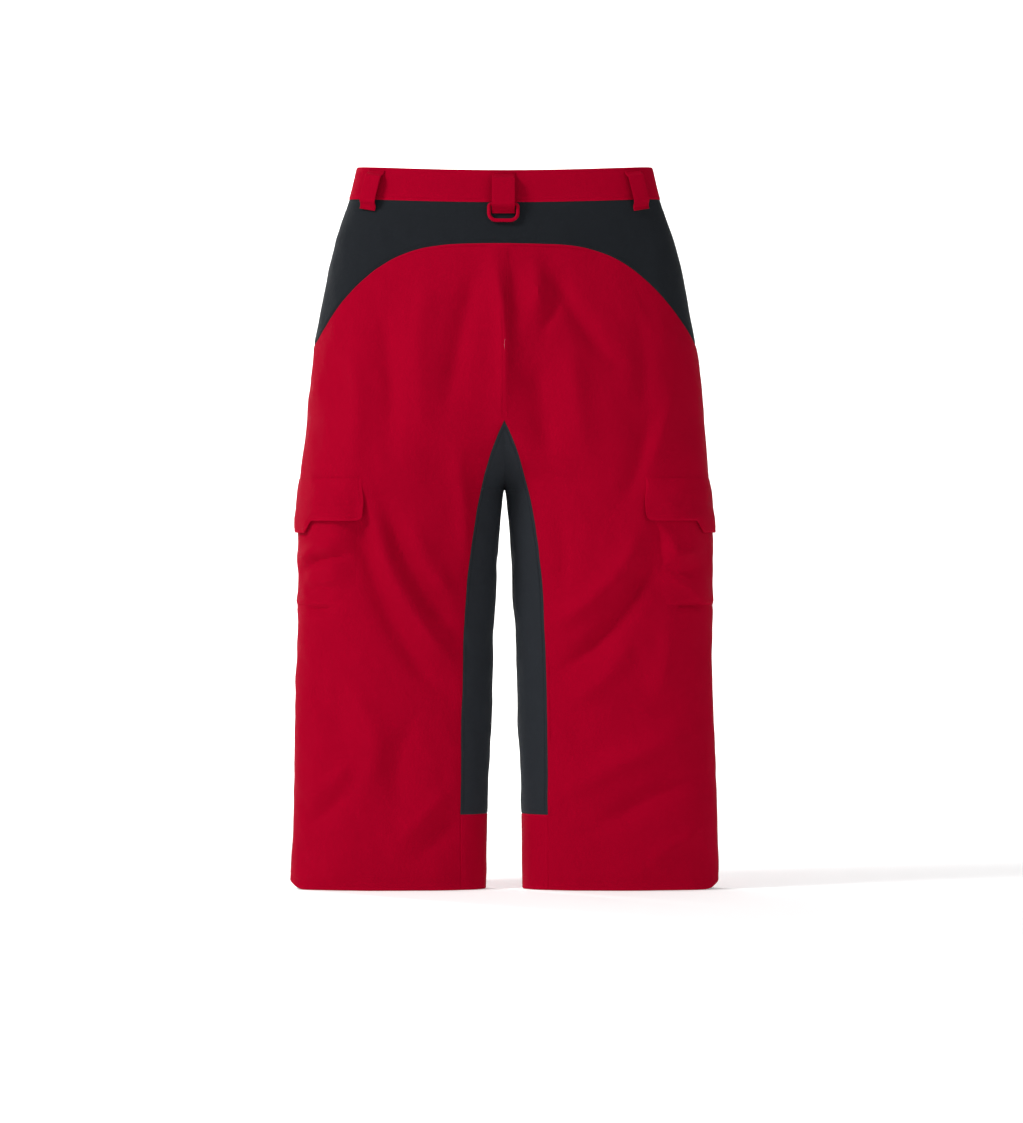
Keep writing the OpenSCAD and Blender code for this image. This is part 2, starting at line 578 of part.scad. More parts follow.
// The fly's tape lies under the edges of the front panels
fly_y = -shell_t - 0.3;
module fly_shield() {
  color(BLACK) on_frame(fly_frame) translate([-20, fly_y - 3.2, -2]) cube([40, 1.2, fly_len + 4]);
}
// The hand zip's coil stands on the seam's two panels
zip_proud = 2.2;
zip_foot = at(1, zip_low_turn, hip_edge(zip_low_turn), 0);
zip_head = at(1, zip_top_turn, -dip(1, zip_top_turn) - band_h - 3, 0);
zip_up = unit(zip_head - zip_foot);
zip_n = outward(1, (zip_low_turn + zip_top_turn) / 2, -140);
zip_out = unit(zip_n - (zip_n * zip_up) * zip_up);
zip_frame = [zip_foot + 8 * zip_up + zip_proud * zip_out, cross(zip_out, zip_up), zip_out, zip_up];
hand_len = norm(zip_head - zip_foot) - 14;
module hand_zip(s) {
  color(BLACK) side_of(s) on_frame(zip_frame) {
    zip_tapes(hand_len + 4, -6, -0.85);
    zip_coil(hand_len, 0);
    zip_stops(hand_len, 0);
  }
}
module hand_slider(s) {
  color(GREY) side_of(s) on_frame(zip_frame) zip_slider(hand_len, 0);
}
module hand_pull(s) {
  color(RED) side_of(s) on_frame(zip_frame) zip_pull(hand_len, 0);
}
module hand_pocket_bag(s) {
  grid = [for (z = spread(-95, -320, 8)) [for (t = spread(22, 58, 6)) [t, z]]];
  color(GREY) side_of(s) cloth(1, grid, -shell_t - 1.4, 1.6);
}

/* ---------- Waist tab ---------- */
tab_h = 36;
tab_z = -dip_front - (band_h + tab_h) / 2;
tab_frame = tilt(1, 90, tab_z + tab_h, tab_z, band_proud);
tab_y = 3.2;
tab_t = 2;
tab_hinge_x = 22;
tab_end = -46;
snap_x = -12;
SNAPS = [snap_x, snap_x - snap_gap];
module on_snap(x) {
  translate([x, 0, tab_h / 2]) rotate([-90, 0, 0]) children();
}
module waist_tab() {
  r = 8;
  color(RED) on_frame(tab_frame) difference() {
    union() {
      translate([tab_end + r, tab_y, 0]) cube([tab_hinge_x - tab_end - r, tab_t, tab_h]);
      translate([tab_end, tab_y, r]) cube([r + 1, tab_t, tab_h - 2 * r]);
      for (z = [r, tab_h - r]) translate([tab_end + r, tab_y, z]) rotate([-90, 0, 0]) cylinder(r = r, h = tab_t);
    }
    for (x = SNAPS) on_snap(x) translate([0, 0, tab_y - 1]) cylinder(r = 2, h = tab_t + 2);
  }
}
module waist_tab_root() {
  color(RED) on_frame(tab_frame) translate([tab_hinge_x + 0.4, 0.2, 0]) cube([12, tab_y + tab_t - 0.2, tab_h]);
}
module snap_caps() {
  color(GREY) on_frame(tab_frame) for (x = SNAPS) on_snap(x) difference() {
    union() {
      translate([0, 0, 1]) cylinder(r = 5.5, h = 2);
      translate([0, 0, 2.5]) cylinder(r = 1.9, h = tab_y + tab_t - 2);
      translate([0, 0, tab_y + tab_t + 0.1]) cylinder(r1 = snap_r, r2 = snap_r - 1.2, h = 1.8);
    }
    translate([0, 0, 0]) cylinder(r = 3.2, h = 2.7);
  }
}
module snap_studs() {
  color(GREY) on_frame(tab_frame) for (x = SNAPS) on_snap(x) {
    translate([0, 0, 0.1]) cylinder(r = 5.5, h = 0.6);
    translate([0, 0, 0.3]) cylinder(r = 2.9, h = 2.1);
  }
}

waistband_back();
waistband_front(-1);  // waistband_front_l
waistband_front(1);  // waistband_front_r
waistband_facing();
belt_loop_centre();
belt_loop(-1, -1, loop_turn_back);  // belt_loop_back_l
belt_loop(-1, 1, loop_turn_back);  // belt_loop_back_r
belt_loop(1, -1, loop_turn_front);  // belt_loop_front_l
belt_loop(1, 1, loop_turn_front);  // belt_loop_front_r
ring_keeper();
d_ring();
back_yoke();
hip_panel(-1);  // hip_panel_l
hip_panel(1);  // hip_panel_r
back_panel(-1);  // back_panel_l
back_panel(1);  // back_panel_r
front_panel(-1);  // front_panel_l
front_panel(1);  // front_panel_r
inner_gusset(-1);  // inner_gusset_l
inner_gusset(1);  // inner_gusset_r
hem_patch(-1);  // hem_patch_l
hem_patch(1);  // hem_patch_r
lining(-1);  // lining_l
lining(1);  // lining_r
cargo_pocket(-1);  // cargo_pocket_l
cargo_pocket(1);  // cargo_pocket_r
cargo_flap(-1);  // cargo_flap_l
cargo_flap(1);  // cargo_flap_r
flap_root(-1);  // flap_root_l
flap_root(1);  // flap_root_r
tape_patch(-1, pocket_off + tape_gap + tape_t);  // pocket_tape_l
tape_patch(1, pocket_off + tape_gap + tape_t);  // pocket_tape_r
tape_patch(-1, flap_off - flap_t - tape_gap);  // flap_tape_l
tape_patch(1, flap_off - flap_t - tape_gap);  // flap_tape_r
color(BLACK) on_frame(fly_frame) zip_tapes(fly_len + 4, -6, fly_y - 0.85);  // fly_zip_tapes
color(BLACK) on_frame(fly_frame) zip_coil(fly_len, fly_y);  // fly_zip_coil
color(GREY) on_frame(fly_frame) zip_stops(fly_len, fly_y);  // fly_zip_stops
color(GREY) on_frame(fly_frame) zip_slider(fly_len, fly_y);  // fly_slider
color(RED) on_frame(fly_frame) zip_pull(fly_len, fly_y);  // fly_pull
fly_shield();
waist_tab();
waist_tab_root();
snap_caps();
snap_studs();
hand_zip(-1);  // hand_zip_l
hand_zip(1);  // hand_zip_r
hand_slider(-1);  // hand_slider_l
hand_slider(1);  // hand_slider_r
hand_pull(-1);  // hand_pull_l
hand_pull(1);  // hand_pull_r
hand_pocket_bag(-1);  // hand_pocket_bag_l
hand_pocket_bag(1);  // hand_pocket_bag_r
gaiter(-1);  // gaiter_l
gaiter(1);  // gaiter_r
gaiter_elastic(-1);  // gaiter_elastic_l
gaiter_elastic(1);  // gaiter_elastic_r
lace_hook(-1);  // lace_hook_l
lace_hook(1);  // lace_hook_r
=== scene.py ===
"""Ski pants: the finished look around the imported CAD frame.

Shapes are worked out in millimetres on the same surface as the CAD and put into meshes in metres.
Every shell piece lies on one surface: at each height the body or leg is a rounded oval, and a turn
round it runs from 0 at the side seam to 180 at the inseam, positive at the back, negative in front.
"""

import json
import math

import bmesh
import bpy
import numpy as np
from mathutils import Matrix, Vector

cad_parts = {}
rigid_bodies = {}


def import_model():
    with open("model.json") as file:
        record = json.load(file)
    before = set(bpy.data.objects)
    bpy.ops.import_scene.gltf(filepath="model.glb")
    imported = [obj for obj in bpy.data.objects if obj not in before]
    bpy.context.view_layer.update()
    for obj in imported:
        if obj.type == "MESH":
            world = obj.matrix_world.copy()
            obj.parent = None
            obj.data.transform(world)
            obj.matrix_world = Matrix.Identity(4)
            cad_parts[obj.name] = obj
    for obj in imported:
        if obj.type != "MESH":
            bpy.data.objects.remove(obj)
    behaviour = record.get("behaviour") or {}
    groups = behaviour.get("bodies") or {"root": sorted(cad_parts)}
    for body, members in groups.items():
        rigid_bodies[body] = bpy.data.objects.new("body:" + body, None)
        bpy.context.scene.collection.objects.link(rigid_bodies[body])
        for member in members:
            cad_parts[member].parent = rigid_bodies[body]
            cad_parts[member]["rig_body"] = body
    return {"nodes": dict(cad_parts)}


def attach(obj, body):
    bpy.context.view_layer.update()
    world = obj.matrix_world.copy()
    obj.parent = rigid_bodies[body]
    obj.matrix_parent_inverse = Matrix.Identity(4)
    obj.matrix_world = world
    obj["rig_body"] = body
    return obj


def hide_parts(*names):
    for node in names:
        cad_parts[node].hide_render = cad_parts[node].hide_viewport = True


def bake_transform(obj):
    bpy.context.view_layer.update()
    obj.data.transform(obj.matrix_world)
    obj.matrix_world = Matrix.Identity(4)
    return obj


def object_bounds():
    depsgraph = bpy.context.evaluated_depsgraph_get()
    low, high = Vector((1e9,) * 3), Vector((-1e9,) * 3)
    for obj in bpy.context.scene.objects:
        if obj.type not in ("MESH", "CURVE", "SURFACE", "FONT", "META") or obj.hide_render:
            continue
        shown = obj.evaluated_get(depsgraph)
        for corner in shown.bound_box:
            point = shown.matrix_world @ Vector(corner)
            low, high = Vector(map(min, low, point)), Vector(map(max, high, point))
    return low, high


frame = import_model()
CAD_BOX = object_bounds()

bl_info = {
    "name": "Ski Pants",
    "version": (1, 0, 0),
    "blender": (4, 5, 0),
    "location": "3D View > Sidebar > Pants",
    "description": "Builds ski pants in sewn panels around their CAD frame",
    "category": "Add Mesh",
}

# ---------------------------------------------------------------- the surface that all panels lie on

LENGTH, WAIST_W, HIP_W, THIGH_W, HEM_W, HEM_GAP = 1008.0, 412.0, 546.0, 575.0, 600.0, 50.0
RISE, HIP_DROP, WAIST_D, SEAT_D, THIGH_D, KNEE_D, HEM_D = 451.0, 290.0, 110.0, 100.0, 84.0, 64.0, 52.0
LOFT, BAND_H, DIP_BACK, DIP_FRONT, BAND_PROUD = 6.4, 45.0, 8.0, 14.0, 1.0
ARCH_TOP, ARCH_SIDE, ARCH_POWER = 111.0, 248.0, 4.25
GUSSET_W, GUSSET_TOP, HEM_PATCH_H = 61.3, 356.0, 105.0
FLAP_TOP, FLAP_H, FLAP_TAB_H, POCKET_FOOT, POCKET_ROOM = 440.0, 54.0, 71.0, 613.0, 7.0
LEG, FLARE, CROTCH = LENGTH - RISE, HIP_W / 2 - WAIST_W / 2, -RISE
SHARE = 2 / 2.2
SLOPE = 0.09
SHARP = 38  # edges turned by more degrees than this are shaded sharp
ACROSS = (1.0, 0.0, 0.0)

OUTLINE = [
    (0, WAIST_W / 2),
    (-BAND_H, WAIST_W / 2 + 0.17 * FLARE),
    (-0.345 * HIP_DROP, WAIST_W / 2 + 0.44 * FLARE),
    (-0.62 * HIP_DROP, WAIST_W / 2 + 0.724 * FLARE),
    (-HIP_DROP, HIP_W / 2),
    (-0.84 * RISE, (HIP_W + THIGH_W) / 4 + 0.5),
    (CROTCH, THIGH_W / 2),
    (CROTCH - 0.16 * LEG, THIGH_W / 2 + 0.24 * (HEM_W - THIGH_W) / 2),
    (CROTCH - 0.447 * LEG, THIGH_W / 2 + 0.36 * (HEM_W - THIGH_W) / 2),
    (CROTCH - 0.752 * LEG, THIGH_W / 2 + 0.72 * (HEM_W - THIGH_W) / 2),
    (-LENGTH, HEM_W / 2),
]
BACK = [
    (0, WAIST_D / 2),
    (-BAND_H, WAIST_D / 2 + 5),
    (-0.345 * HIP_DROP, WAIST_D / 2 + 17),
    (-0.69 * HIP_DROP, 0.92 * SEAT_D),
    (-HIP_DROP, SEAT_D),
    (-0.86 * RISE, 0.5 * (SEAT_D + THIGH_D) + 2),
    (CROTCH, THIGH_D),
    (CROTCH - 0.2 * LEG, 0.5 * (THIGH_D + KNEE_D)),
    (CROTCH - 0.45 * LEG, KNEE_D),
    (CROTCH - 0.75 * LEG, 0.6 * KNEE_D + 0.4 * HEM_D),
    (-LENGTH, HEM_D),
]
FRONT = [
    (0, WAIST_D / 2),
    (-137, WAIST_D / 2 + 137 * SLOPE),
    (-240, WAIST_D / 2 + 240 * SLOPE),
    (-0.75 * RISE, THIGH_D - 4),
    (CROTCH, THIGH_D - 3),
    (CROTCH - 0.2 * LEG, 0.4 * THIGH_D + 0.6 * KNEE_D),
    (CROTCH - 0.45 * LEG, KNEE_D),
    (CROTCH - 0.75 * LEG, 0.5 * (KNEE_D + HEM_D)),
    (-LENGTH, HEM_D),
]


def ease(s):
    """The smooth step 3s² - 2s³, flat outside 0 to 1."""
    s = np.clip(s, 0.0, 1.0)
    return s * s * (3 - 2 * s)


def mix(a, b, s):
    """The straight blend a + (b - a)s."""
    return a + (b - a) * s


def curve(stations, z):
    """A cubic through the stations, its slope at each the slope between that one's neighbours."""
    t = np.array(stations, float)[::-1]
    h, v = t[:, 0], t[:, 1]
    rate = np.gradient(v)
    rate[1:-1] = (v[2:] - v[:-2]) / (h[2:] - h[:-2])
    rate[0], rate[-1] = (v[1] - v[0]) / (h[1] - h[0]), (v[-1] - v[-2]) / (h[-1] - h[-2])
    z = np.asarray(z, float)
    i = np.clip(np.searchsorted(h, z, side="right") - 1, 0, len(h) - 2)
    step = h[i + 1] - h[i]
    s = (z - h[i]) / step
    return (
        v[i] * (1 + 2 * s) * (1 - s) ** 2
        + step * rate[i] * s * (1 - s) ** 2
        + v[i + 1] * s**2 * (3 - 2 * s)
        - step * rate[i + 1] * s**2 * (1 - s)
    )


def hollow(z):
    """Share of the side seam's hollow behind the pocket, from under the flap to the pocket's foot."""
    return ease((-z - FLAP_TOP + 2) / 34) * ease((POCKET_FOOT + 2 + z) / 36)


def outer(z):
    """Half width of the outline, less the hollow behind the cargo pocket."""
    return curve(OUTLINE, z) - (POCKET_ROOM + 1.5) * hollow(z)


def middle(z):
    """Middle of a half's section: the centre line at the hips, the middle of the leg below the crotch."""
    z = np.asarray(z, float)
    drop = np.clip((CROTCH - z) / LEG, 0, None)
    below = (outer(z) + HEM_GAP / 2 * drop**0.6) / 2
    t = np.clip((-z - 230) / (RISE - 230), 0, 1)
    above = outer(z) / 2 * t**3 * (4 - 3 * t)
    return np.where(z < CROTCH, below, above)


def depth(back, z):
    """Distance from the middle to the back or front at a height."""
    return np.where(back, curve(BACK, z), curve(FRONT, z))


def power(v):
    """v to the rounding power, with its sign."""
    return np.sign(v) * np.abs(v) ** SHARE


def section(turn, z):
    """x = middle + half width × cos^p, y = depth × sin^p on the turn's side, for the right half."""
    back = turn >= 0
    t = np.radians(np.abs(turn))
    mid = middle(z)
    x = mid + (outer(z) - mid) * power(np.cos(t))
    y = np.where(back, -1.0, 1.0) * depth(back, z) * power(np.sin(t))
    return x, y


def surface(turn, z):
    """Points of the right half and their outward normals.

    The normal is the gradient of |x/a|^n + |y/b|^n, leaned so that it is square to the way down.
    """
    turn, z = np.broadcast_arrays(np.asarray(turn, float), np.asarray(z, float))
    x, y = section(turn, z)
    back = turn >= 0
    t = np.radians(np.abs(turn))
    c, s = np.cos(t), np.sin(t)
    nx = np.sign(c) * np.abs(c) ** (2 - SHARE) / (outer(z) - middle(z))
    ny = np.where(back, -1.0, 1.0) * np.abs(s) ** (2 - SHARE) / depth(back, z)
    x1, y1 = section(turn, z + 1.5)
    x0, y0 = section(turn, z - 1.5)
    nz = -(nx * (x1 - x0) + ny * (y1 - y0)) / 3.0
    n = np.stack([nx, ny, nz], -1)
    n /= np.linalg.norm(n, axis=-1, keepdims=True)
    return np.stack([x, y, z], -1), n


def turn_at(x, z):
    """The turn at which the section is at a distance x from the body's middle."""
    z = np.asarray(z, float)
    u = np.clip((x - middle(z)) / (outer(z) - middle(z)), -1, 1)
    return np.degrees(np.arccos(np.sign(u) * np.abs(u) ** (1 / SHARE)))


def share(turn):
    """Share of the half width at a turn."""
    return power(np.clip(np.cos(np.radians(np.abs(turn))), 0, None))


def arch(turn):
    """Height of the seam between yoke and seat."""
    return -ARCH_TOP - (ARCH_SIDE - ARCH_TOP) * share(turn) ** ARCH_POWER


def dip(back, turn):
    """How far the waist edge dips towards the centre."""
    return np.where(back, DIP_BACK, DIP_FRONT) * (1 - share(turn) ** 2)


def gusset_edge(z):
    """Half width of the inner leg panels."""
    return GUSSET_W * (1 - np.exp(-np.clip(-GUSSET_TOP - z, 0, None) / 123))


def hem_lift(turn):
    """Rise of the hem at its rounded outer corner."""
    return 10 * ease(1 - np.abs(turn) / 34)


def inner_turn(z, seam=0.02):
    """Where a back or front panel meets the centre seam or the inner leg panel."""
    return np.where(z > -GUSSET_TOP, turn_at(seam, z), turn_at(np.maximum(gusset_edge(z), 0.6), z))


# ---------------------------------------------------------------- folds

# Each fold is (height in mm, half width in mm, points (x, z) along it); negative heights are valleys
SEAT_FOLDS = [
    (3.2, 12, [(-14, -126), (0, -230), (0, -352)]),
    (-1.5, 9, [(11, -128), (16, -190), (14, -240)]),
    (-3.2, 15, [(-38, -140), (-52, -200), (-68, -275), (-84, -350)]),
    (1.8, 18, [(-108, -150), (-118, -250), (-112, -360)]),
    (-3.0, 17, [(-174, -205), (-160, -290), (-155, -420)]),
    (2.4, 16, [(-215, -240), (-204, -330), (-206, -430)]),
    (2.6, 11, [(42, -128), (46, -180), (40, -215)]),
    (-3.0, 13, [(64, -134), (82, -182), (118, -238), (150, -280)]),
    (-1.8, 8, [(78, -184), (64, -212), (50, -240)]),
    (-3.2, 17, [(42, -270), (52, -340), (62, -425)]),
    (2.2, 16, [(92, -240), (100, -330), (112, -420)]),
    (-1.6, 15, [(178, -200), (196, -270), (192, -350)]),
    (1.8, 13, [(236, -300), (218, -370), (196, -428)]),
    (-2.0, 14, [(206, -345), (184, -420), (158, -480)]),
]
LEFT_FOLDS = [
    (2.6, 12, [(-66, -395), (-58, -470), (-52, -560)]),
    (-3.6, 13, [(-204, -478), (-196, -530), (-170, -606), (-124, -690), (-76, -742)]),
    (3.4, 12, [(-182, -478), (-158, -560), (-112, -640), (-72, -690)]),
    (-3.4, 11, [(-168, -462), (-142, -540), (-98, -612), (-66, -650)]),
    (2.0, 14, [(-138, -470), (-104, -556), (-70, -600)]),
    (-2.4, 18, [(-120, -760), (-150, -830), (-146, -925)]),
    (1.8, 16, [(-228, -700), (-180, -790), (-196, -880)]),
    (-2.0, 13, [(-290, -925), (-250, -900), (-212, -862)]),
    (1.6, 12, [(-286, -888), (-244, -862), (-206, -822)]),
    (1.8, 14, [(-150, -945), (-112, -905), (-72, -862)]),
    (-1.6, 12, [(-120, -962), (-88, -930), (-62, -900)]),
    (-1.4, 16, [(-280, -720), (-240, -760), (-220, -810)]),
    (-1.8, 5, [(-278, -615), (-260, -617), (-236, -619)]),
]
RIGHT_FOLDS = [
    (3.4, 15, [(190, -500), (162, -560), (108, -612), (66, -640)]),
    (-3.8, 13, [(206, -540), (176, -600), (130, -662), (74, -706)]),
    (2.0, 15, [(178, -655), (140, -710), (90, -750)]),
    (-1.8, 14, [(70, -470), (82, -540), (76, -600)]),
    (2.6, 17, [(70, -880), (140, -842), (206, -810), (262, -790)]),
    (-2.4, 15, [(112, -928), (180, -890), (236, -862), (280, -848)]),
    (1.6, 12, [(196, -968), (240, -944), (278, -920)]),
    (-1.6, 18, [(150, -740), (200, -764), (256, -768)]),
    (-1.4, 16, [(86, -770), (110, -806), (150, -820)]),
    (1.4, 14, [(228, -640), (222, -700), (206, -740)]),
    (-1.8, 5, [(236, -613), (258, -611), (280, -611)]),
]
FRONT_FOLDS = [
    (-3.2, 12, [(14, -436), (56, -408), (108, -372), (150, -350)]),
    (2.4, 12, [(20, -410), (62, -376), (118, -336)]),
    (-2.2, 11, [(12, -396), (44, -352), (84, -306)]),
    (-3.0, 13, [(-14, -436), (-60, -412), (-116, -384)]),
    (2.4, 12, [(-18, -412), (-70, -380), (-128, -348)]),
    (-2.4, 12, [(-12, -390), (-38, -344), (-72, -292)]),
    (-3.2, 16, [(96, -700), (150, -664), (206, -650)]),
    (2.6, 15, [(92, -742), (152, -708), (214, -700)]),
    (-2.6, 15, [(-98, -690), (-156, -662), (-204, -668)]),
    (2.4, 15, [(-90, -736), (-150, -706), (-214, -712)]),
    (-2.6, 18, [(168, -330), (160, -430), (148, -560)]),
    (-2.4, 18, [(-176, -320), (-162, -430), (-156, -570)]),
    (2.2, 18, [(120, -470), (122, -560), (130, -640)]),
    (2.2, 18, [(-124, -470), (-118, -560), (-132, -640)]),
    (-2.4, 17, [(84, -860), (140, -836), (196, -850)]),
    (-2.4, 17, [(-90, -880), (-142, -846), (-204, -842)]),
    (2.0, 16, [(96, -930), (160, -902), (228, -912)]),
    (2.0, 16, [(-96, -940), (-150, -902), (-220, -900)]),
]
POCKET_FOLDS = [
    (-2.6, 6, [(-272, -566), (-260, -552), (-240, -546), (-212, -543)]),
    (1.8, 9, [(-282, -556), (-256, -532), (-216, -524)]),
    (-1.6, 8, [(-276, -600), (-250, -586), (-226, -590)]),
    (-2.8, 8, [(208, -490), (212, -530), (218, -572)]),
    (-2.4, 9, [(224, -548), (238, -566), (262, -560)]),
    (2.0, 9, [(226, -520), (236, -540), (262, -534)]),
]
# Lines on the front that stay flat, for the zips
QUIET = [[(177, -232), (121, -56)], [(-177, -232), (-121, -56)], [(0, -250), (0, -50)]]


def smooth_path(points, n=20):
    """n points along a Catmull-Rom curve through the given ones."""
    p = np.array(points, float)
    p = np.vstack([2 * p[0] - p[1], p, 2 * p[-1] - p[-2]])
    t = np.linspace(0, len(points) - 1 - 1e-9, n)
    i = t.astype(int)
    s = (t - i)[:, None]
    a, b, c, d = p[i], p[i + 1], p[i + 2], p[i + 3]
    return 0.5 * (2 * b + (c - a) * s + (2 * a - 5 * b + 4 * c - d) * s**2 + (3 * b - a - 3 * c + d) * s**3)


def near(path, x, z):
    """Distance of each point from a path, and how far along the path its nearest point is, 0 to 1."""
    best = np.full(x.shape, 1e9)
    along = np.zeros(x.shape)
    n = len(path) - 1
    for k in range(n):
        ax, az = path[k]
        dx, dz = path[k + 1] - path[k]
        t = np.clip(((x - ax) * dx + (z - az) * dz) / (dx * dx + dz * dz), 0, 1)
        gap = np.hypot(x - ax - t * dx, z - az - t * dz)
        closer = gap < best
        along = np.where(closer, (k + t) / n, along)
        best = np.minimum(best, gap)
    return best, along


def folded(table, x, z):
    """Sum of the folds: height × exp(-(distance / half width)^1.7), each dying away at its two ends."""
    total = np.zeros(x.shape)
    for height, width, points in table:
        pts = np.array(points, float)
        reach = 3 * width
        inside = (
            (x > pts[:, 0].min() - reach) & (x < pts[:, 0].max() + reach)
            & (z > pts[:, 1].min() - reach) & (z < pts[:, 1].max() + reach)
        )
        if not inside.any():
            continue
        gap, along = near(smooth_path(points), x[inside], z[inside])
        swell = ease(along / 0.3) * ease((1 - along) / 0.3)
        total[inside] += height * np.exp(-((gap / width) ** 1.7)) * (0.25 + 0.75 * swell)
    return total


def noise(p, cell, seed):
    """Smooth value noise from -1 to 1: random values on a lattice, eased between its corners."""
    lattice = np.random.RandomState(seed).uniform(-1, 1, (24, 24, 24))
    q = p / np.asarray(cell, float)
    i = np.floor(q).astype(int)
    f = q - i
    f = f * f * f * (f * (6 * f - 15) + 10)
    total = 0
    for a in (0, 1):
        for b in (0, 1):
            for c in (0, 1):
                w = (
                    np.where(a, f[..., 0], 1 - f[..., 0])
                    * np.where(b, f[..., 1], 1 - f[..., 1])
                    * np.where(c, f[..., 2], 1 - f[..., 2])
                )
                total = total + w * lattice[(i[..., 0] + a) % 24, (i[..., 1] + b) % 24, (i[..., 2] + c) % 24]
    return total


def relief(side, turn, point, gain):
    """How far the cloth stands off the plain surface: its folds, those of the back passing into those of
    the front round the side, and three sizes of soft unevenness. It is flat at the waistband, along the
    zips and at the crotch."""
    x = side * point[..., 0]
    z = point[..., 2]
    back = turn >= 0
    s = np.sin(np.radians(turn))
    behind = ease(0.5 + s / 0.8)
    total = behind * folded(SEAT_FOLDS + LEFT_FOLDS + RIGHT_FOLDS, x, z)
    total += (1 - behind) * folded(FRONT_FOLDS, x, z)
    total *= 0.25 + 0.75 * ease(np.abs(s) / 0.8)
    world = np.stack([x, point[..., 1], z], -1)
    total += 0.9 * noise(world, (120, 120, 150), 3) + 0.55 * noise(world, (46, 46, 60), 5)
    slanted = np.stack([x + 0.5 * z, point[..., 1], z - 0.4 * x], -1)
    total += 0.30 * noise(slanted, (17, 17, 34), 8)
    total *= ease((-z - 62) / 46)
    quiet = np.ones(x.shape)
    for line in QUIET:
        gap, _ = near(np.array(line, float), x, z)
        quiet = np.minimum(quiet, np.where(back, 1.0, ease((gap - 9) / 30)))
    crotch = ease(np.hypot(x, z - CROTCH) / 34)
    return gain * 2.6 * total * quiet * crotch


# ---------------------------------------------------------------- meshes


def steps(width, pitch, rim=(0, 0.5, 1.1, 1.9, 2.9, 3.7, 4.4, 5.4, 7.2)):
    """Fractions 0 to 1 across a width: close together at both rims and a pitch apart between them."""
    r = np.array([v for v in rim if v < width * 0.3], float) / width
    n = max(2, int(round((1 - 2 * r[-1]) * width / pitch)))
    inside = np.linspace(r[-1], 1 - r[-1], n + 1)[1:-1]
    return np.concatenate([r, inside, 1 - r[::-1]])


def lengths(p, axis):
    """Distance along a grid's rows or columns from its first point."""
    d = np.linalg.norm(np.diff(p, axis=axis), axis=-1)
    pad = [(0, 0), (0, 0)]
    pad[axis] = (1, 0)
    return np.cumsum(np.pad(d, pad), axis=axis)


def quads_of(rows, cols, start=0, loop=False):
    """Quads between neighbouring rows and columns of a grid of points."""
    i, j = np.meshgrid(np.arange(rows - 1), np.arange(cols if loop else cols - 1), indexing="ij")
    k = (j + 1) % cols
    f = [i * cols + j, i * cols + k, (i + 1) * cols + k, (i + 1) * cols + j]
    return start + np.stack([v.ravel() for v in f], -1)


def rim_quads(rows, cols, shift, loop=False):
    """Quads that join the edges of a grid to those of its copy, shift points later."""
    j = np.arange(cols if loop else cols - 1)
    k = (j + 1) % cols
    last = (rows - 1) * cols
    parts = [
        np.stack([k, j, j + shift, k + shift], -1),
        np.stack([last + j, last + k, last + k + shift, last + j + shift], -1),
    ]
    if not loop:
        i = np.arange(rows - 1) * cols
        n = i + cols
        e = cols - 1
        parts += [
            np.stack([i, n, n + shift, i + shift], -1),
            np.stack([n + e, i + e, i + e + shift, n + e + shift], -1),
        ]
    return np.concatenate(parts)


def wall_quads(rows, cols, loop=False):
    """Quads of a closed wall: the outer grid, the inner one turned round, and the rim between them."""
    n = rows * cols
    inner = quads_of(rows, cols, n, loop)[:, ::-1]
    return np.concatenate([quads_of(rows, cols, 0, loop), inner, rim_quads(rows, cols, n, loop)])


def rounded_end(gap, radius):
    """How far a round corner cuts in, a gap from the end: r - sqrt(r² - (r - gap)²), and 0 past r."""
    bow = np.sqrt(np.clip(radius * radius - (radius - gap) ** 2, 0, None))
    return np.where(gap < radius, radius - bow, 0)


def make(name, points, faces, uv=None, wear=None, sharp=SHARP):
    """A mesh object from points in mm and faces, in metres, facing outwards, smooth but for its rims."""
    mesh = bpy.data.meshes.new(name)
    points = np.asarray(points, float).reshape(-1, 3) / 1000
    if not isinstance(faces, list):
        faces = [faces]
    total = 0.0
    for f in faces:
        a = points[f[:, 0]]
        for k in range(1, f.shape[1] - 1):
            total += np.einsum("ij,ij->i", a, np.cross(points[f[:, k]], points[f[:, k + 1]])).sum()
    order = slice(None) if total > 0 else slice(None, None, -1)
    listed = [row for f in faces for row in f[:, order].tolist()]
    mesh.from_pydata(points.tolist(), [], listed)
    mesh.polygons.foreach_set("use_smooth", np.ones(len(mesh.polygons), bool))
    if uv is not None:
        index = np.zeros(len(mesh.loops), np.int32)
        mesh.loops.foreach_get("vertex_index", index)
        layer = mesh.uv_layers.new(name="UVMap")
        flat = (np.asarray(uv, float).reshape(-1, 2) / 1000)[index]
        layer.data.foreach_set("uv", flat.ravel().astype(np.float32))
    if wear is not None:
        attribute = mesh.attributes.new("wear", "FLOAT", "POINT")
        attribute.data.foreach_set("value", np.asarray(wear, np.float32).ravel())
    mesh.update()
    mesh.set_sharp_from_angle(angle=math.radians(sharp))
    piece = bpy.data.objects.new(name, mesh)
    bpy.context.scene.collection.objects.link(piece)
    return piece


def weld(piece, gap=2e-6):
    """Merges points that lie on each other, so that a seam between two grids closes."""
    bm = bmesh.new()
    bm.from_mesh(piece.data)
    bmesh.ops.remove_doubles(bm, verts=bm.verts, dist=gap)
    bmesh.ops.recalc_face_normals(bm, faces=bm.faces)
    bm.to_mesh(piece.data)
    bm.free()
    piece.data.set_sharp_from_angle(angle=math.radians(SHARP))
    return piece


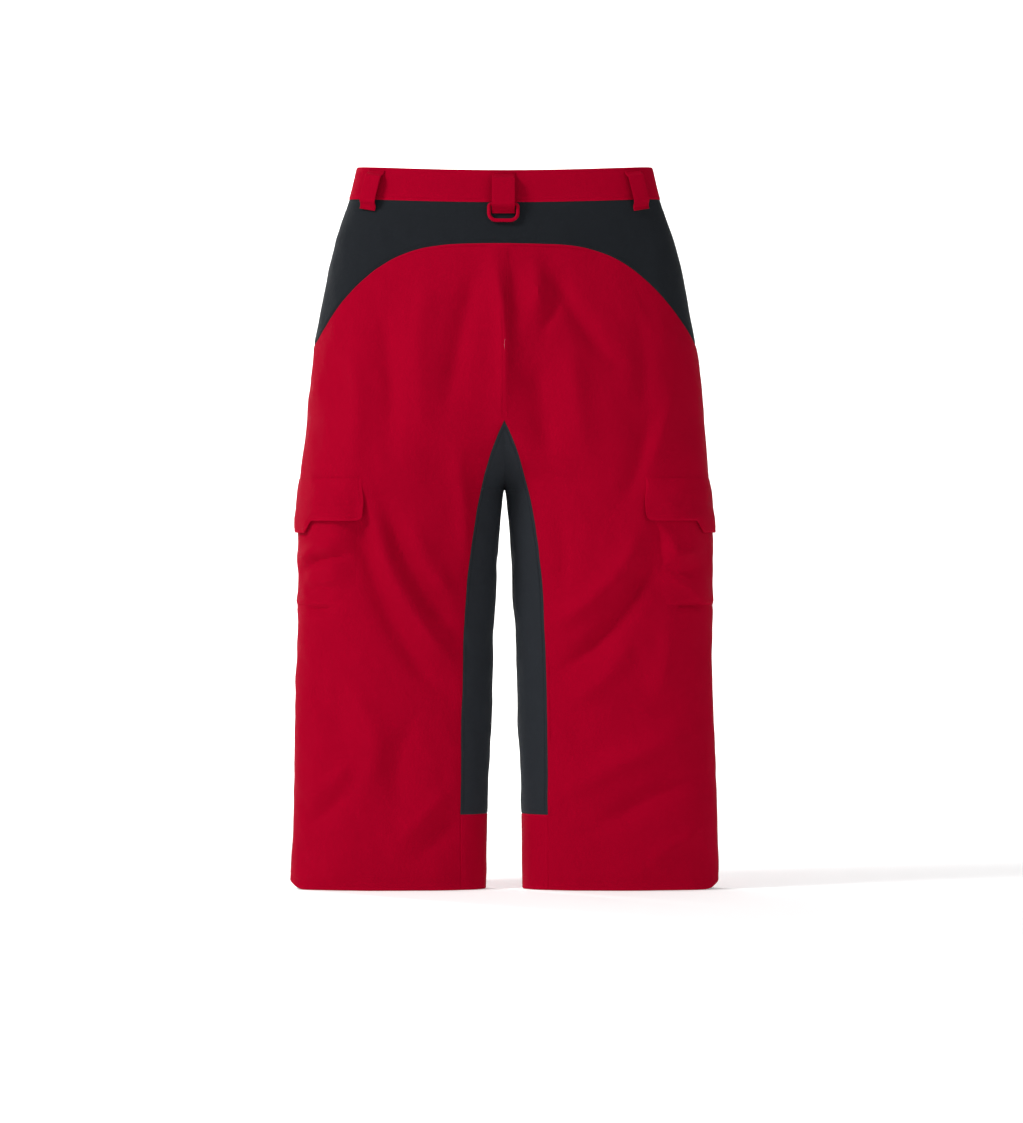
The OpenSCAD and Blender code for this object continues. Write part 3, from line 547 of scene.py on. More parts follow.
class Cloth:
    """A piece of cloth on the shell: a grid of turns and heights, its outside and its inside.

    Its distance off the surface is off, plus the folds, less a rolled edge of 1 - ease(distance / 2.4)
    and a shallow groove where the topstitching pulls it in.
    """

    def __init__(self, side, turn, z, off=0.0, thick=1.2, edges="lrtb", gain=1.0, stitch=4.0, roll=1.0,
                 extra=None):
        turn, z = np.broadcast_arrays(np.asarray(turn, float), np.asarray(z, float))
        self.side = np.broadcast_to(np.asarray(side, float), turn.shape)
        p, n = surface(turn, z)
        lift = relief(self.side, turn, p, gain) if gain else 0.0
        p = p + n * np.asarray(lift)[..., None] if gain else p
        p = p * np.stack([self.side, np.ones_like(self.side), np.ones_like(self.side)], -1)
        n = n * np.stack([self.side, np.ones_like(self.side), np.ones_like(self.side)], -1)
        du, dv = lengths(p, 1), lengths(p, 0)
        ways = {"l": du, "r": du[:, -1:] - du, "t": dv, "b": dv[-1:] - dv}
        gap = np.full(turn.shape, 1e3)
        for e in edges:
            gap = np.minimum(gap, ways[e])
        self.gap = gap
        rise = np.asarray(off, float) + np.zeros(turn.shape)
        rise = rise - roll * (1 - ease(gap / 2.4))
        if stitch:
            rise = rise - 0.32 * np.exp(-(((gap - stitch) / 0.9) ** 2))
        if extra is not None:
            rise = rise + extra(p[..., 0], p[..., 2], turn, gap)
        self.outside = p + n * rise[..., None]
        self.inside = p + n * (rise - thick)[..., None]
        self.uv = np.stack([du, dv], -1)
        self.wear = np.exp(-gap / 3.0)

    def area(self):
        """Flat area in square metres: half of each quad's crossed diagonals."""
        p = self.outside / 1000
        a, b = p[1:, 1:] - p[:-1, :-1], p[1:, :-1] - p[:-1, 1:]
        return 0.5 * float(np.linalg.norm(np.cross(a, b), axis=-1).sum())

    def size(self):
        """Longest run across and longest run down, in metres."""
        return float(self.uv[:, -1, 0].max()) / 1000, float(self.uv[-1, :, 1].max()) / 1000

    def data(self, start):
        """Points, faces, texture places and wear of the closed piece."""
        r, c = self.outside.shape[:2]
        faces = wall_quads(r, c)
        points = np.concatenate([self.outside.reshape(-1, 3), self.inside.reshape(-1, 3)])
        return points, faces + start, np.tile(self.uv.reshape(-1, 2), (2, 1)), np.tile(self.wear.ravel(), 2)


def sewn(name, cloths, finish, node, body="pants", cut=None, joined=False):
    """One or more cloths as one piece of fabric, with its finish and its place in the frame."""
    points, faces, uv, wear, start = [], [], [], [], 0
    for cloth in cloths:
        p, f, t, w = cloth.data(start)
        points.append(p), faces.append(f), uv.append(t), wear.append(w)
        start += len(p)
    piece = make(name, *(np.concatenate(part) for part in (points, faces, uv, wear)))
    if joined:
        weld(piece)
    dress(piece, finish, body, node)
    area = sum(c.area() for c in cloths)
    wide, tall = cut or (max(c.size()[0] for c in cloths), max(c.size()[1] for c in cloths))
    area = min(area, 0.995 * wide * tall)
    return piece


def dress(piece, finish, body, nodes=()):
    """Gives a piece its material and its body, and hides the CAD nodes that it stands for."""
    piece.data.materials.clear()
    piece.data.materials.append(material(finish))
    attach(piece, body)
    nodes = [nodes] if isinstance(nodes, str) else list(nodes)
    if nodes:
        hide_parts(*nodes)
    return piece


def scatter(shape, faces, places, axes):
    """One small shape repeated: each point is place + x·axis0 + y·axis1 + z·axis2."""
    moved = places[:, None, :] + np.einsum("pk,nkc->npc", shape, axes)
    count = len(shape)
    shift = (np.arange(len(places)) * count)[:, None, None]
    return moved.reshape(-1, 3), [(f[None] + shift).reshape(-1, f.shape[1]) for f in faces]


def capsule(length, radius, sides=5):
    """A stitch: rings of radius × sin across x = -length/2 × cos, with a point at each end."""
    ring_at = np.radians([38, 90, 142])
    turn = np.linspace(0, 2 * math.pi, sides, endpoint=False)
    rings = [
        np.stack([np.full(sides, -length / 2 * math.cos(a)), radius * math.sin(a) * np.cos(turn),
                  radius * math.sin(a) * np.sin(turn)], -1)
        for a in ring_at
    ]
    points = np.vstack(rings + [[[-length / 2, 0, 0]], [[length / 2, 0, 0]]])
    j = np.arange(sides)
    k = (j + 1) % sides
    low, high = 3 * sides, 3 * sides + 1
    near_end = np.stack([np.full(sides, low), k, j], -1)
    far_end = np.stack([np.full(sides, high), j + 2 * sides, k + 2 * sides], -1)
    tris = np.vstack([near_end, far_end])
    return points, [quads_of(3, sides, 0, True)[:, ::-1], tris]


def along(line, pitch):
    """Midpoints and unit directions every pitch along a line of points."""
    d = np.concatenate([[0], np.cumsum(np.linalg.norm(np.diff(line, axis=0), axis=1))])
    n = max(2, int(d[-1] / pitch))
    at = (np.arange(n) + 0.5) * d[-1] / n
    mid = np.stack([np.interp(at, d, line[:, k]) for k in range(3)], -1)
    after, before = (
        np.stack([np.interp(at + way, d, line[:, k]) for k in range(3)], -1) for way in (0.8, -0.8)
    )
    ahead = after - before
    return mid, ahead / np.linalg.norm(ahead, axis=1, keepdims=True), at / d[-1]


def stitch_row(line, normal, pitch):
    """Places and axes of a row of stitches that lie along a line, flat on the cloth."""
    mid, ahead, share_of = along(line, pitch)
    pick = np.clip((share_of * (len(line) - 1)).round().astype(int), 0, len(line) - 1)
    n = normal[pick]
    n = n - ahead * np.einsum("ij,ij->i", n, ahead)[:, None]
    n /= np.linalg.norm(n, axis=1, keepdims=True)
    return mid, np.stack([ahead, np.cross(n, ahead), n], 1)


def seam_line(side, turn, z, shift, off=0.0, gain=1.0):
    """A line on the cloth beside a seam: the seam moved sideways in the surface by a shift."""
    turn, z = np.broadcast_arrays(np.asarray(turn, float), np.asarray(z, float))
    p, n = surface(turn, z)
    lift = relief(np.broadcast_to(float(side), turn.shape), turn, p, gain)
    p = p + n * (lift + off)[..., None]
    flip = np.array([side, 1.0, 1.0])
    p, n = p * flip, n * flip
    ahead = np.gradient(p, axis=0)
    ahead /= np.linalg.norm(ahead, axis=1, keepdims=True)
    across = np.cross(n, ahead)
    return p + across * shift, n


def unit(v):
    return np.asarray(v, float) / np.linalg.norm(v)


def at(turn, z, off):
    """One point at a distance outside the plain surface, and its normal."""
    p, n = surface(np.array([float(turn)]), np.array([float(z)]))
    return p[0] + off * n[0], n[0]


class Place:
    """A local frame on the pants: an origin, then x across, y outwards and z up, each a unit vector."""

    def __init__(self, origin, x, y, z):
        self.o = np.asarray(origin, float)
        self.m = np.stack([x, y, z])

    def mirrored(self, side):
        if side > 0:
            return self
        flip = np.array([-1.0, 1.0, 1.0])
        return Place(self.o * flip, self.m[0] * flip, self.m[1] * flip, self.m[2] * flip)

    def __call__(self, points):
        return self.o + np.asarray(points, float) @ self.m


def tilt(turn, z1, z2, off):
    """The frame of a straight piece between two heights, with its foot at the lower one."""
    p, _ = at(turn, z1, off)
    q, _ = at(turn, z2, off)
    _, n = at(turn, (z1 + z2) / 2, 0)
    up = unit(p - q)
    out = unit(n - up * (n @ up))
    return Place(q, np.cross(out, up), out, up)


def swept(path, across, profile, closed=False, place=None):
    """A profile carried along a path: each point is path + u·across + v·(across × the way ahead).

    path is n × 3, across is one unit vector, and profile is m × 2 or n × m × 2. Open ends are closed
    with caps.
    """
    path = np.asarray(path, float)
    n = len(path)
    if closed:
        ahead = np.roll(path, -1, 0) - np.roll(path, 1, 0)
    else:
        ahead = np.gradient(path, axis=0)
    ahead /= np.linalg.norm(ahead, axis=1, keepdims=True)
    up = np.cross(np.broadcast_to(across, ahead.shape), ahead)
    up /= np.linalg.norm(up, axis=1, keepdims=True)
    profile = np.broadcast_to(profile, (n,) + np.shape(profile)[-2:])
    m = profile.shape[1]
    ring = path[:, None] + profile[..., :1] * np.asarray(across, float) + profile[..., 1:] * up[:, None]
    d = np.concatenate([[0], np.cumsum(np.linalg.norm(np.diff(path, axis=0), axis=1))])
    edge = np.concatenate([[0], np.cumsum(np.linalg.norm(np.diff(profile[0], axis=0), axis=1))])
    uv = np.stack(np.broadcast_arrays(edge[None, :], d[:, None]), -1).reshape(-1, 2)
    if closed:
        k = quads_of(n, m, 0, True)
        i = (n - 1) * m
        j = np.arange(m)
        faces = [np.concatenate([k, np.stack([i + j, i + (j + 1) % m, (j + 1) % m, j], -1)])]
        points = ring.reshape(-1, 3)
    else:
        points = np.concatenate([ring.reshape(-1, 3), ring[:1].mean(1), ring[-1:].mean(1)])
        uv = np.vstack([uv, uv[:1], uv[-1:]])
        j = np.arange(m)
        k = (j + 1) % m
        low, high, last = n * m, n * m + 1, (n - 1) * m
        faces = [
            quads_of(n, m, 0, True),
            np.vstack([np.stack([np.full(m, low), k, j], -1),
                       np.stack([np.full(m, high), last + j, last + k], -1)]),
        ]
    if place is not None:
        points = place(points)
    return points, faces, uv


def rounded(width, thick, corner=None, n=5):
    """A rounded rectangle as a ring of points: each corner a quarter circle."""
    r = min(width, thick) / 2 * 0.98 if corner is None else corner
    a = np.radians(np.concatenate([np.linspace(k, k + 90, n) for k in (0, 90, 180, 270)]))
    cx = np.repeat([1, -1, -1, 1], n) * (width / 2 - r)
    cy = np.repeat([1, 1, -1, -1], n) * (thick / 2 - r)
    return np.stack([cx + r * np.cos(a), cy + r * np.sin(a)], -1)


# ---------------------------------------------------------------- materials


class Tree:
    """A material's nodes, each made by one method."""

    def __init__(self, name):
        self.material = bpy.data.materials.new(name)
        self.material.use_nodes = True
        self.tree = self.material.node_tree
        self.tree.nodes.clear()

    def node(self, kind, settings=None, **sockets):
        """A node of a type, its settings first, then the values or links of its sockets by name."""
        node = self.tree.nodes.new("ShaderNode" + kind)
        for key, value in (settings or {}).items():
            setattr(node, key, value)
        for key, value in sockets.items():
            wanted = key.replace("_", " ").lower()
            found = [s for s in node.inputs if s.enabled and s.name.lower() == wanted]
            if not found:
                raise KeyError(f"{kind} has no socket named {wanted}")
            self.put(found[0], value)
        return node

    def put(self, socket, value):
        if isinstance(value, Value):
            self.tree.links.new(value.socket, socket)
        elif isinstance(value, bpy.types.NodeSocket):
            self.tree.links.new(value, socket)
        else:
            socket.default_value = value

    def value(self, socket):
        return Value(self, socket)


class Value:
    """A number that varies over a surface. Arithmetic on it adds Math nodes."""

    def __init__(self, tree, socket):
        self.tree, self.socket = tree, socket

    def _math(self, operation, *others, clamp=False):
        node = self.tree.tree.nodes.new("ShaderNodeMath")
        node.operation, node.use_clamp = operation, clamp
        for socket, value in zip(node.inputs, others):
            self.tree.put(socket, value)
        return Value(self.tree, node.outputs[0])

    def __add__(self, other):
        return self._math("ADD", self, other)

    def __sub__(self, other):
        return self._math("SUBTRACT", self, other)

    def __rsub__(self, other):
        return self._math("SUBTRACT", other, self)

    def __mul__(self, other):
        return self._math("MULTIPLY", self, other)

    __radd__, __rmul__ = __add__, __mul__

    def sine(self):
        return self._math("SINE", self)

    def clamped(self):
        return self._math("ADD", self, 0.0, clamp=True)


def blended(tree, factor, a, b):
    """A colour between two, by a factor."""
    node = tree.node("Mix", {"data_type": "RGBA"})
    colours = [s for s in node.inputs if s.type == "RGBA"]
    tree.put(node.inputs[0], factor)
    tree.put(colours[0], a)
    tree.put(colours[1], b)
    return [s for s in node.outputs if s.type == "RGBA"][0]


def tint(colour, gain):
    return (min(1, colour[0] * gain), min(1, colour[1] * gain), min(1, colour[2] * gain), 1.0)


def noise_value(tree, vector, scale, detail=3.0, rough=0.55):
    node = tree.node("TexNoise", {"noise_dimensions": "3D"}, Vector=vector, Scale=scale, Detail=detail,
                     Roughness=rough)
    return tree.value(node.outputs[0])


RUBBED = 0.26  # how much lighter a rubbed edge is


def cloth_material(name, colour, pitch=0.9, weave="plain", bump=0.00022, rough=0.82, sheen=0.05, mottle=0.10,
                   level=0.05, wrinkle=0.0006):
    """Woven cloth: threads as crossed sines on the piece's own flat coordinates, a mottle at two sizes in
    colour and roughness, small wrinkles with a painted highlight on their crests, and edges rubbed a little
    lighter."""
    tree = Tree(name)
    uv = tree.node("UVMap", {"uv_map": "UVMap"}).outputs[0]
    place = tree.node("TexCoord").outputs["Object"]
    split = tree.node("SeparateXYZ", Vector=uv)
    turn = 2 * math.pi / (pitch / 1000)
    u, v = tree.value(split.outputs[0]), tree.value(split.outputs[1])
    if weave == "plain":
        threads = (u * turn).sine() * (v * turn).sine()
    elif weave == "twill":
        threads = ((u + v) * turn).sine() * 0.7 + (v * (turn * 2)).sine() * 0.3
    else:
        threads = (v * turn).sine() * 0.8 + (u * (turn * 0.5)).sine() * 0.2
    broad = noise_value(tree, place, 26.0, 4.0)
    fine = noise_value(tree, place, 900.0, 2.0)
    crinkle = noise_value(tree, place, 150.0, 3.0)
    rub = tree.value(tree.node("Attribute", {"attribute_name": "wear"}).outputs["Fac"])
    shade = (broad - 0.5) * (2 * mottle) + (fine - 0.5) * mottle + threads * 0.035 + 0.5
    base = blended(tree, shade.clamped(), tint(colour, 1 - 1.6 * mottle), tint(colour, 1 + 1.6 * mottle))
    # Rubbed edges a little lighter, plus a painted highlight: the raised crests of the small wrinkles are
    # lightened in colour
    worn = blended(tree, (rub * RUBBED + (crinkle - 0.5) * 0.05).clamped(), base, tint(colour, 1.7))
    height = threads * 0.35 + (fine - 0.5) * 0.5 + (crinkle - 0.5) * (wrinkle / bump)
    normal = tree.node("Bump", Strength=1.0, Distance=bump, Height=height).outputs[0]
    shader = tree.node("BsdfPrincipled", Base_Color=worn, Roughness=(fine - 0.5) * 0.12 + rough, Normal=normal,
                       Specular_IOR_Level=level, Sheen_Weight=sheen, Sheen_Roughness=0.5,
                       Sheen_Tint=tint(colour, 1.6), Specular_Tint=tint(colour, 1.8))
    tree.node("OutputMaterial", Surface=shader.outputs[0])
    return tree.material


def thread_material(name, colour):
    """Sewing thread: twisted plies as slanted bands and a soft sheen."""
    tree = Tree(name)
    place = tree.node("TexCoord").outputs["Object"]
    split = tree.node("SeparateXYZ", Vector=place)
    x, y, z = (tree.value(split.outputs[k]) for k in range(3))
    ply = ((x + y + z) * 9000.0).sine()
    shade = (ply * 0.3 + 0.5).clamped()
    base = blended(tree, shade, tint(colour, 0.75), tint(colour, 1.25))
    normal = tree.node("Bump", Strength=0.5, Distance=0.0001, Height=ply).outputs[0]
    shader = tree.node("BsdfPrincipled", Base_Color=base, Roughness=0.6 + 0.1 * ply, Normal=normal,
                       Specular_IOR_Level=0.12, Specular_Tint=tint(colour, 1.8))
    tree.node("OutputMaterial", Surface=shader.outputs[0])
    return tree.material


def metal_material(name, colour, rough):
    """Plated metal: fine brushing, and dull patches from handling."""
    tree = Tree(name)
    place = tree.node("TexCoord").outputs["Object"]
    stretched = tree.node("Mapping", Vector=place, Scale=(1.0, 1.0, 0.12)).outputs[0]
    brush = noise_value(tree, stretched, 2600.0, 2.0)
    handled = noise_value(tree, place, 220.0, 3.0)
    base = blended(tree, handled, tint(colour, 0.82), tint(colour, 1.12))
    normal = tree.node("Bump", Strength=0.4, Distance=0.00005, Height=brush).outputs[0]
    shader = tree.node("BsdfPrincipled", Base_Color=base, Metallic=1.0,
                       Roughness=(brush - 0.5) * 0.18 + (handled - 0.5) * 0.2 + rough, Normal=normal)
    tree.node("OutputMaterial", Surface=shader.outputs[0])
    return tree.material


def plastic_material(name, colour, rough, level=0.3):
    """Moulded plastic: a fine spark-eroded grain and slight unevenness of tone."""
    tree = Tree(name)
    place = tree.node("TexCoord").outputs["Object"]
    grain = noise_value(tree, place, 2400.0, 2.0)
    broad = noise_value(tree, place, 120.0, 2.0)
    base = blended(tree, broad, tint(colour, 0.88), tint(colour, 1.1))
    normal = tree.node("Bump", Strength=0.35, Distance=0.00006, Height=grain).outputs[0]
    shader = tree.node("BsdfPrincipled", Base_Color=base, Roughness=(grain - 0.5) * 0.2 + rough, Normal=normal,
                       Specular_IOR_Level=level, Specular_Tint=tint(colour, 1.8))
    tree.node("OutputMaterial", Surface=shader.outputs[0])
    return tree.material


def studio_material(name, colour):
    """Matt paper for the backdrop."""
    tree = Tree(name)
    place = tree.node("TexCoord").outputs["Object"]
    grain = noise_value(tree, place, 3.0, 2.0)
    base = blended(tree, grain, tint(colour, 0.995), tint(colour, 1.0))
    shader = tree.node("BsdfPrincipled", Base_Color=base, Roughness=0.95, Specular_IOR_Level=0.0,
                       Emission_Color=base, Emission_Strength=0.26)
    tree.node("OutputMaterial", Surface=shader.outputs[0])
    return tree.material


MADE = {}


def material(name):
    """The material of that name, made once from the colours in the settings."""
    if name in MADE:
        return MADE[name]
    look = bpy.context.scene.pants_look
    red, black = tuple(look.red) + (1.0,), tuple(look.black) + (1.0,)
    grey, steel = tuple(look.grey) + (1.0,), tuple(look.metal) + (1.0,)
    makers = {
        "red_shell": lambda: cloth_material(name, red, 0.9, "plain"),
        "black_shell": lambda: cloth_material(name, black, 0.9, "plain", rough=0.78, level=0.2, mottle=0.12),
        "black_inner_leg": lambda: cloth_material(name, tint(black, 1.5), 0.9, "plain", rough=0.78, level=0.2,
                                                  mottle=0.12),
        "red_webbing": lambda: cloth_material(name, red, 1.6, "twill", bump=0.00035, rough=0.8),
        "black_lining": lambda: cloth_material(name, tint(black, 0.8), 0.6, "twill", rough=0.55, level=0.35),
        "black_tape": lambda: cloth_material(name, tint(black, 0.75), 0.8, "twill", rough=0.7, level=0.2),
        "gaiter_fabric": lambda: cloth_material(name, grey, 0.7, "plain", rough=0.6, level=0.3),
        "elastic": lambda: cloth_material(name, tint(black, 0.9), 1.4, "rib", bump=0.0005, rough=0.75, level=0.2),
        "hook_and_loop": lambda: cloth_material(name, tint(black, 0.7), 1.1, "plain", bump=0.0009, rough=0.95,
                                                level=0.1, mottle=0.3, wrinkle=0.0012),
        "black_coil": lambda: plastic_material(name, tint(black, 0.8), 0.42, 0.5),
        "red_plastic": lambda: plastic_material(name, red, 0.5, 0.12),
        "zip_metal": lambda: metal_material(name, steel, 0.34),
        "snap_metal": lambda: metal_material(name, steel, 0.28),
        "red_thread": lambda: thread_material(name, tint(red, 1.05)),
        "black_thread": lambda: thread_material(name, tint(black, 0.9)),
    }
    MADE[name] = makers[name]()
    return MADE[name]


# ---------------------------------------------------------------- settings


class PantsSizes(bpy.types.PropertyGroup):
    """Sizes of the cloth and its sewing."""

    cloth: bpy.props.FloatProperty(
        name="Cloth", description="Thickness of the shell fabric", default=0.0012, min=0.0004, max=0.003,
        subtype="DISTANCE", unit="LENGTH")
    fold_gain: bpy.props.FloatProperty(
        name="Folds", description="Depth of the folds, as a share of the worn pair's", default=1.0, min=0.0,
        max=2.0)
    stitch_pitch: bpy.props.FloatProperty(
        name="Stitch length", description="From one stitch to the next", default=0.0033, min=0.002, max=0.006,
        subtype="DISTANCE", unit="LENGTH")
    thread: bpy.props.FloatProperty(
        name="Thread", description="Radius of the sewing thread", default=0.00033, min=0.0001, max=0.001,
        subtype="DISTANCE", unit="LENGTH")
    tooth_pitch: bpy.props.FloatProperty(
        name="Zip tooth spacing", description="From one coil tooth to the next", default=0.0018, min=0.001,
        max=0.004, subtype="DISTANCE", unit="LENGTH")


class PantsLook(bpy.types.PropertyGroup):
    """Colours of the fabrics and fittings."""

    red: bpy.props.FloatVectorProperty(
        name="Red", description="Shell fabric", default=(0.33, 0.0006, 0.016), size=3, subtype="COLOR",
        min=0, max=1)
    black: bpy.props.FloatVectorProperty(
        name="Black", description="Yoke and inner leg fabric", default=(0.0145, 0.0165, 0.0195), size=3,
        subtype="COLOR", min=0, max=1)
    grey: bpy.props.FloatVectorProperty(
        name="Grey", description="Snow gaiters", default=(0.055, 0.057, 0.062), size=3, subtype="COLOR",
        min=0, max=1)
    metal: bpy.props.FloatVectorProperty(
        name="Metal", description="Zip sliders and snaps", default=(0.30, 0.30, 0.31), size=3, subtype="COLOR",
        min=0, max=1)


class PantsPiece:
    """What the operators share."""

    bl_options = {"REGISTER", "UNDO"}

    @classmethod
    def poll(cls, context):
        return context.scene is not None


def sizes():
    """The settings in millimetres, as plain numbers."""
    s = bpy.context.scene.pants_sizes
    return s.cloth * 1000, s.fold_gain, s.stitch_pitch * 1000, s.thread * 1000, s.tooth_pitch * 1000


SIDES = (("l", -1.0), ("r", 1.0))


def level_rows(top, low, pitch=4.5):
    """Heights from top to low, closer at the crotch, where the surface turns quickest."""
    z = np.linspace(top, low, max(3, int(round((top - low) / pitch)) + 1))
    if top > CROTCH > low:
        near_crotch = CROTCH + np.array([14, 9, 6, 4, 2.5, 1.4, 0.6, 0, -0.6, -1.4, -2.5, -4, -6, -9, -14.0])
        near_crotch = near_crotch[(near_crotch < top) & (near_crotch > low)]
        z = np.concatenate([z[np.abs(z - CROTCH) > 15], near_crotch])
    return np.sort(z)[::-1]


RIM = np.array([0.5, 1.1, 1.9, 2.9, 3.7, 4.4, 5.4, 7.2])


def rimmed(z, top=True, low=True):
    """Rows with extra ones close to the top and the foot, for the rolled edge and its stitching."""
    rows = [z]
    if top:
        rows.append(z[0] - RIM)
    if low:
        rows.append(z[-1] + RIM)
    rows = np.unique(np.round(np.concatenate(rows), 3))[::-1]
    return rows


class PANTS_OT_back(PantsPiece, bpy.types.Operator):
    """Back yoke and the two back panels."""

    bl_idname = "pants.back"
    bl_label = "Back Panels"

    def execute(self, context):
        cloth, gain, _, _, _ = sizes()
        # Yoke: from the waistband's foot to the arch, all the way across
        u = steps(230.0, 4.0)
        turn = 90 * u
        v = steps(120.0, 4.0)[:, None]
        top = -dip(True, turn) - BAND_H + 1.5
        low = arch(turn) + 0.02
        z = mix(top, low, v)
        turn2 = np.concatenate([turn, turn[-2::-1]])
        z2 = np.concatenate([z, z[:, -2::-1]], 1)
        side = np.concatenate([np.ones(len(turn)), -np.ones(len(turn) - 1)])
        yoke = Cloth(side, turn2, z2, 0.0, cloth, "tb", gain)
        sewn("back_yoke_fabric", [yoke], "black_shell", "back_yoke")
        for tag, s in SIDES:
            u = steps(300.0, 4.4)
            split = -270.0
            v = np.concatenate([RIM / 159, np.linspace(0, 1, 36)])
            v = np.unique(v)[:, None]
            z_top = mix(arch(90 * u) - 0.02, split, v)
            rows = level_rows(split, -LENGTH)
            rows = rimmed(rows, top=False)[1:]
            z_low = np.broadcast_to(rows[:, None], (len(rows), len(u)))
            z = np.vstack([z_top, z_low])
            turn = u * inner_turn(z)
            z = z + hem_lift(turn) * ease((-z - LENGTH + 30) / 30)
            soft = -0.8 * ease((-z - GUSSET_TOP) / 12)

            def centre(x, height, a, gap):
                """The centre edge rolls only where it meets the inner leg panel."""
                across = np.abs(a - a[:, -1:]) * outer(height) / 70
                return soft * (1 - ease(across / 2.4))

            panel = Cloth(s, turn, z, 0.0, cloth, "ltb", gain, extra=centre)
            sewn(f"back_panel_fabric_{tag}", [panel], "red_shell", f"back_panel_{tag}")
        return {"FINISHED"}


ZIP_LOW_TURN, ZIP_TOP_TURN, HIP_FOOT = 49.0, 60.0, -228.0
FLY_FOOT = -BAND_H - DIP_FRONT - 172.0 - 4


def hip_edge(turn):
    """Foot of the black hip panel, from the side seam to the zip."""
    return mix(-ARCH_SIDE, HIP_FOOT, turn / ZIP_LOW_TURN)


def band_foot(back, turn):
    return -dip(back, turn) - BAND_H


class PANTS_OT_front(PantsPiece, bpy.types.Operator):
    """Hip panels and the two front panels."""

    bl_idname = "pants.front"
    bl_label = "Front Panels"

    def execute(self, context):
        cloth, gain, _, _, _ = sizes()
        for tag, s in SIDES:
            u = steps(150.0, 4.4)
            v = steps(180.0, 4.4)[:, None]
            top, low = mix(0.0, ZIP_TOP_TURN - 0.4, u), mix(0.0, ZIP_LOW_TURN - 0.4, u)
            turn = mix(top, low, v)
            z = mix(band_foot(False, top) + 1.5, hip_edge(low) + 0.02, v)
            hip = Cloth(s, -np.maximum(turn, 1e-4), z, 0.0, cloth, "lrtb", gain)
            sewn(f"hip_panel_fabric_{tag}", [hip], "black_shell", f"hip_panel_{tag}")

            t = np.concatenate([
                ZIP_LOW_TURN * steps(150.0, 4.4)[:-9],
                np.linspace(ZIP_LOW_TURN - 1.5, ZIP_LOW_TURN, 4)[:-1],
                np.linspace(ZIP_LOW_TURN, ZIP_TOP_TURN, 14),
                ZIP_TOP_TURN + (90 - ZIP_TOP_TURN) * steps(120.0, 4.4)[1:],
            ])
            t = np.unique(np.maximum(t, 1e-4))
            ramp = (t - ZIP_LOW_TURN) / (ZIP_TOP_TURN - ZIP_LOW_TURN)
            zip_line = mix(HIP_FOOT, band_foot(False, ZIP_TOP_TURN) + 1.5, ramp)
            band_line = band_foot(False, t) + 1.5
            top = np.where(t < ZIP_LOW_TURN, hip_edge(t), np.where(t < ZIP_TOP_TURN, zip_line, band_line))
            split = -270.0
            v = np.unique(np.concatenate([RIM / 200, np.linspace(0, 1, 48)]))[:, None]
            z_top = mix(top - 0.02, split, v)
            rows = rimmed(level_rows(split, -LENGTH), top=False)[1:]
            z = np.vstack([z_top, np.broadcast_to(rows[:, None], (len(rows), len(t)))])
            fly = mix(9.0, 0.02, ease((FLY_FOOT - z) / 15))
            edge = np.where(z > split, turn_at(fly, z), inner_turn(z))
            near_fly = ease((t - ZIP_TOP_TURN) / (90 - ZIP_TOP_TURN))
            upper = t + (edge - 90) * near_fly
            ends = ease((-z - 262) / 30)
            turn = mix(upper, t / 90 * edge, ends)
            z = z + hem_lift(turn) * ease((-z - LENGTH + 30) / 30)
            panel = Cloth(s, -np.maximum(turn, 1e-4), z, 0.0, cloth, "lrtb", gain)
            sewn(f"front_panel_fabric_{tag}", [panel], "red_shell", f"front_panel_{tag}")
        return {"FINISHED"}


def leg_strip(side, rows, edge_x, cloth, gain, edges):
    """Back and front halves of an inner leg piece, which meet at the inseam and part above the crotch."""
    u = steps(90.0, 4.4)[None]
    z = np.broadcast_to(rows[:, None], (len(rows), u.shape[1]))
    edge = turn_at(edge_x(z), z)
    mid = np.where(z > CROTCH, turn_at(0.0, z), 180.0)
    turn = mix(edge, mid, u)
    back = Cloth(side, turn, z, 0.0, cloth, edges, gain)
    front = Cloth(side, -turn, z, 0.0, cloth, edges, gain)
    return [back, front]


class PANTS_OT_inner_leg(PantsPiece, bpy.types.Operator):
    """Inner leg panels and the red patches at the hems."""

    bl_idname = "pants.inner_leg"
    bl_label = "Inner Legs"

    def execute(self, context):
        cloth, gain, _, _, _ = sizes()
        foot = -LENGTH + HEM_PATCH_H
        for tag, s in SIDES:
            rows = rimmed(level_rows(-GUSSET_TOP, foot))
            halves = leg_strip(s, rows, lambda z: np.maximum(gusset_edge(z), 0.6), cloth, gain, "ltb")
            piece = sewn(f"inner_gusset_fabric_{tag}", halves, "black_shell", f"inner_gusset_{tag}",
                         cut=(0.31, 0.548), joined=True)
            piece.data.materials[0] = material("black_inner_leg")
            rows = rimmed(level_rows(foot - 0.02, -LENGTH))
            halves = leg_strip(s, rows, gusset_edge, cloth, gain, "ltb")
            sewn(f"hem_patch_fabric_{tag}", halves, "red_shell", f"hem_patch_{tag}",
                 cut=(0.31, 0.106), joined=True)
        return {"FINISHED"}


